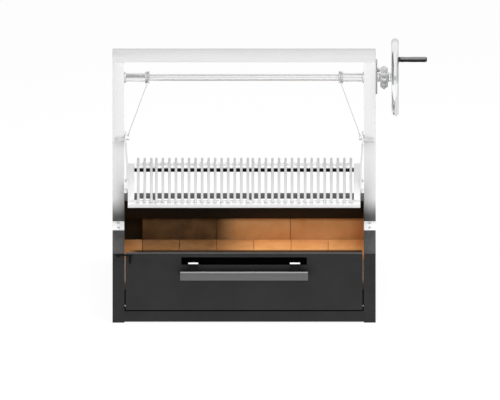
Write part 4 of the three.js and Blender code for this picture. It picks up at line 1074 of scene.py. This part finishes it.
def buildFlag():
    # a dark flag outside the picture at the left, which only polished metal picks up
    # its L-shaped outline is given as (depth, height)
    flag = dict(
        x=-0.95, level=0.08,
        outline=((-1.3, 0.45), (-0.22, 0.45), (-0.22, 1.25), (0.85, 1.25), (0.85, 2.4), (-1.3, 2.4)),
    )
    bm = bmesh.new()
    bm.faces.new([bm.verts.new((flag["x"], y, z)) for y, z in flag["outline"]])
    graph = Graph(bpy.data.materials.new("flagCloth"))
    cloth = graph.node("Emission")
    graph.feed(flag["level"], cloth.inputs["Strength"])
    graph.feed(cloth.outputs[0], graph.node("OutputMaterial").inputs["Surface"])
    card = meshObject(bm, "studioFlag", graph.owner)
    for rays in ("camera", "diffuse", "shadow", "transmission"):
        setattr(card, "visible_" + rays, False)


def buildWorld():
    # even white light; polished metal sees it greyer at the sides and behind, and darker low in front
    sky = dict(
        soft=0.70, aside=(0.55, 1.0, 1.12, 0.60), bandFoot=(0.10, 0.16, 0, 1), bandTop=(0.32, 0.40, 1, 0),
        ahead=(0.70, 0.84, 0, 0.40), behind=(0.82, 0.94, 1, 0.80),
    )
    world = bpy.data.worlds.new("studioWorld")
    bpy.context.scene.world = world
    graph = Graph(world)
    light = graph.node("Background")
    seen, glossy = raysSeen(graph)
    way = graph.split(graph.node("TexCoord").outputs["Generated"])
    mirrored = graph.eased(graph.reckon("ABSOLUTE", way["X"]), *sky["aside"])
    band = graph.times(graph.eased(way["Z"], *sky["bandFoot"]), graph.eased(way["Z"], *sky["bandTop"]))
    ahead = graph.eased(graph.times(way["Y"], -1.0), *sky["ahead"])
    mirrored = graph.times(mirrored, graph.reckon("SUBTRACT", 1.0, graph.times(band, ahead)))
    mirrored = graph.times(mirrored, graph.eased(way["Y"], *sky["behind"]))
    strength = graph.reckon("MULTIPLY_ADD", seen, 1.0 - sky["soft"], sky["soft"])
    lost = graph.times(glossy, graph.reckon("SUBTRACT", 1.0, mirrored))
    graph.feed(graph.reckon("SUBTRACT", strength, lost), light.inputs["Strength"])
    graph.feed(light.outputs[0], graph.node("OutputWorld").inputs["Surface"])


def placed(name, data, spot, way):  # a lamp or a camera that looks along a way
    made = linked(name, data)
    made.location = spot
    made.rotation_mode = "QUATERNION"
    made.rotation_quaternion = way.to_track_quat("-Z", "Y")
    return made


def buildLamps():
    lamps = (
        ("overheadSoftbox", (0.25, -0.5, 2.7), (0, 0, 0.3), 2.6, 2.0, 105),
        ("frontSoftbox", (1.9, -2.6, 2.4), (0, 0, 0.25), 2.0, 1.6, 22),
    )
    for name, spot, aim, wide, tall, power in lamps:
        lamp = bpy.data.lights.new(name, "AREA")
        lamp.shape = "RECTANGLE"
        lamp.size = wide
        lamp.size_y = tall
        lamp.energy = power
        holder = placed(name, lamp, spot, Vector(aim) - Vector(spot))
        holder.visible_glossy = False


def buildCamera():
    view = dict(elevation=17.0, width=1.55, aim=(0.0183, 0.0, 0.2995), away=4.0, nearest=0.05, farthest=40)
    data = bpy.data.cameras.new("photoCamera")
    data.type = "ORTHO"
    data.ortho_scale = view["width"]
    data.clip_start = view["nearest"]
    data.clip_end = view["farthest"]
    tilt = math.radians(view["elevation"])
    back = Vector((0, -math.cos(tilt), math.sin(tilt)))
    camera = placed("photoCamera", data, Vector(view["aim"]) + back * view["away"], -back)
    bpy.context.scene.camera = camera


buildFloor()
buildFlag()
buildWorld()
buildLamps()
buildCamera()
bpy.context.scene.view_settings.view_transform = "Standard"

print("scene ready")
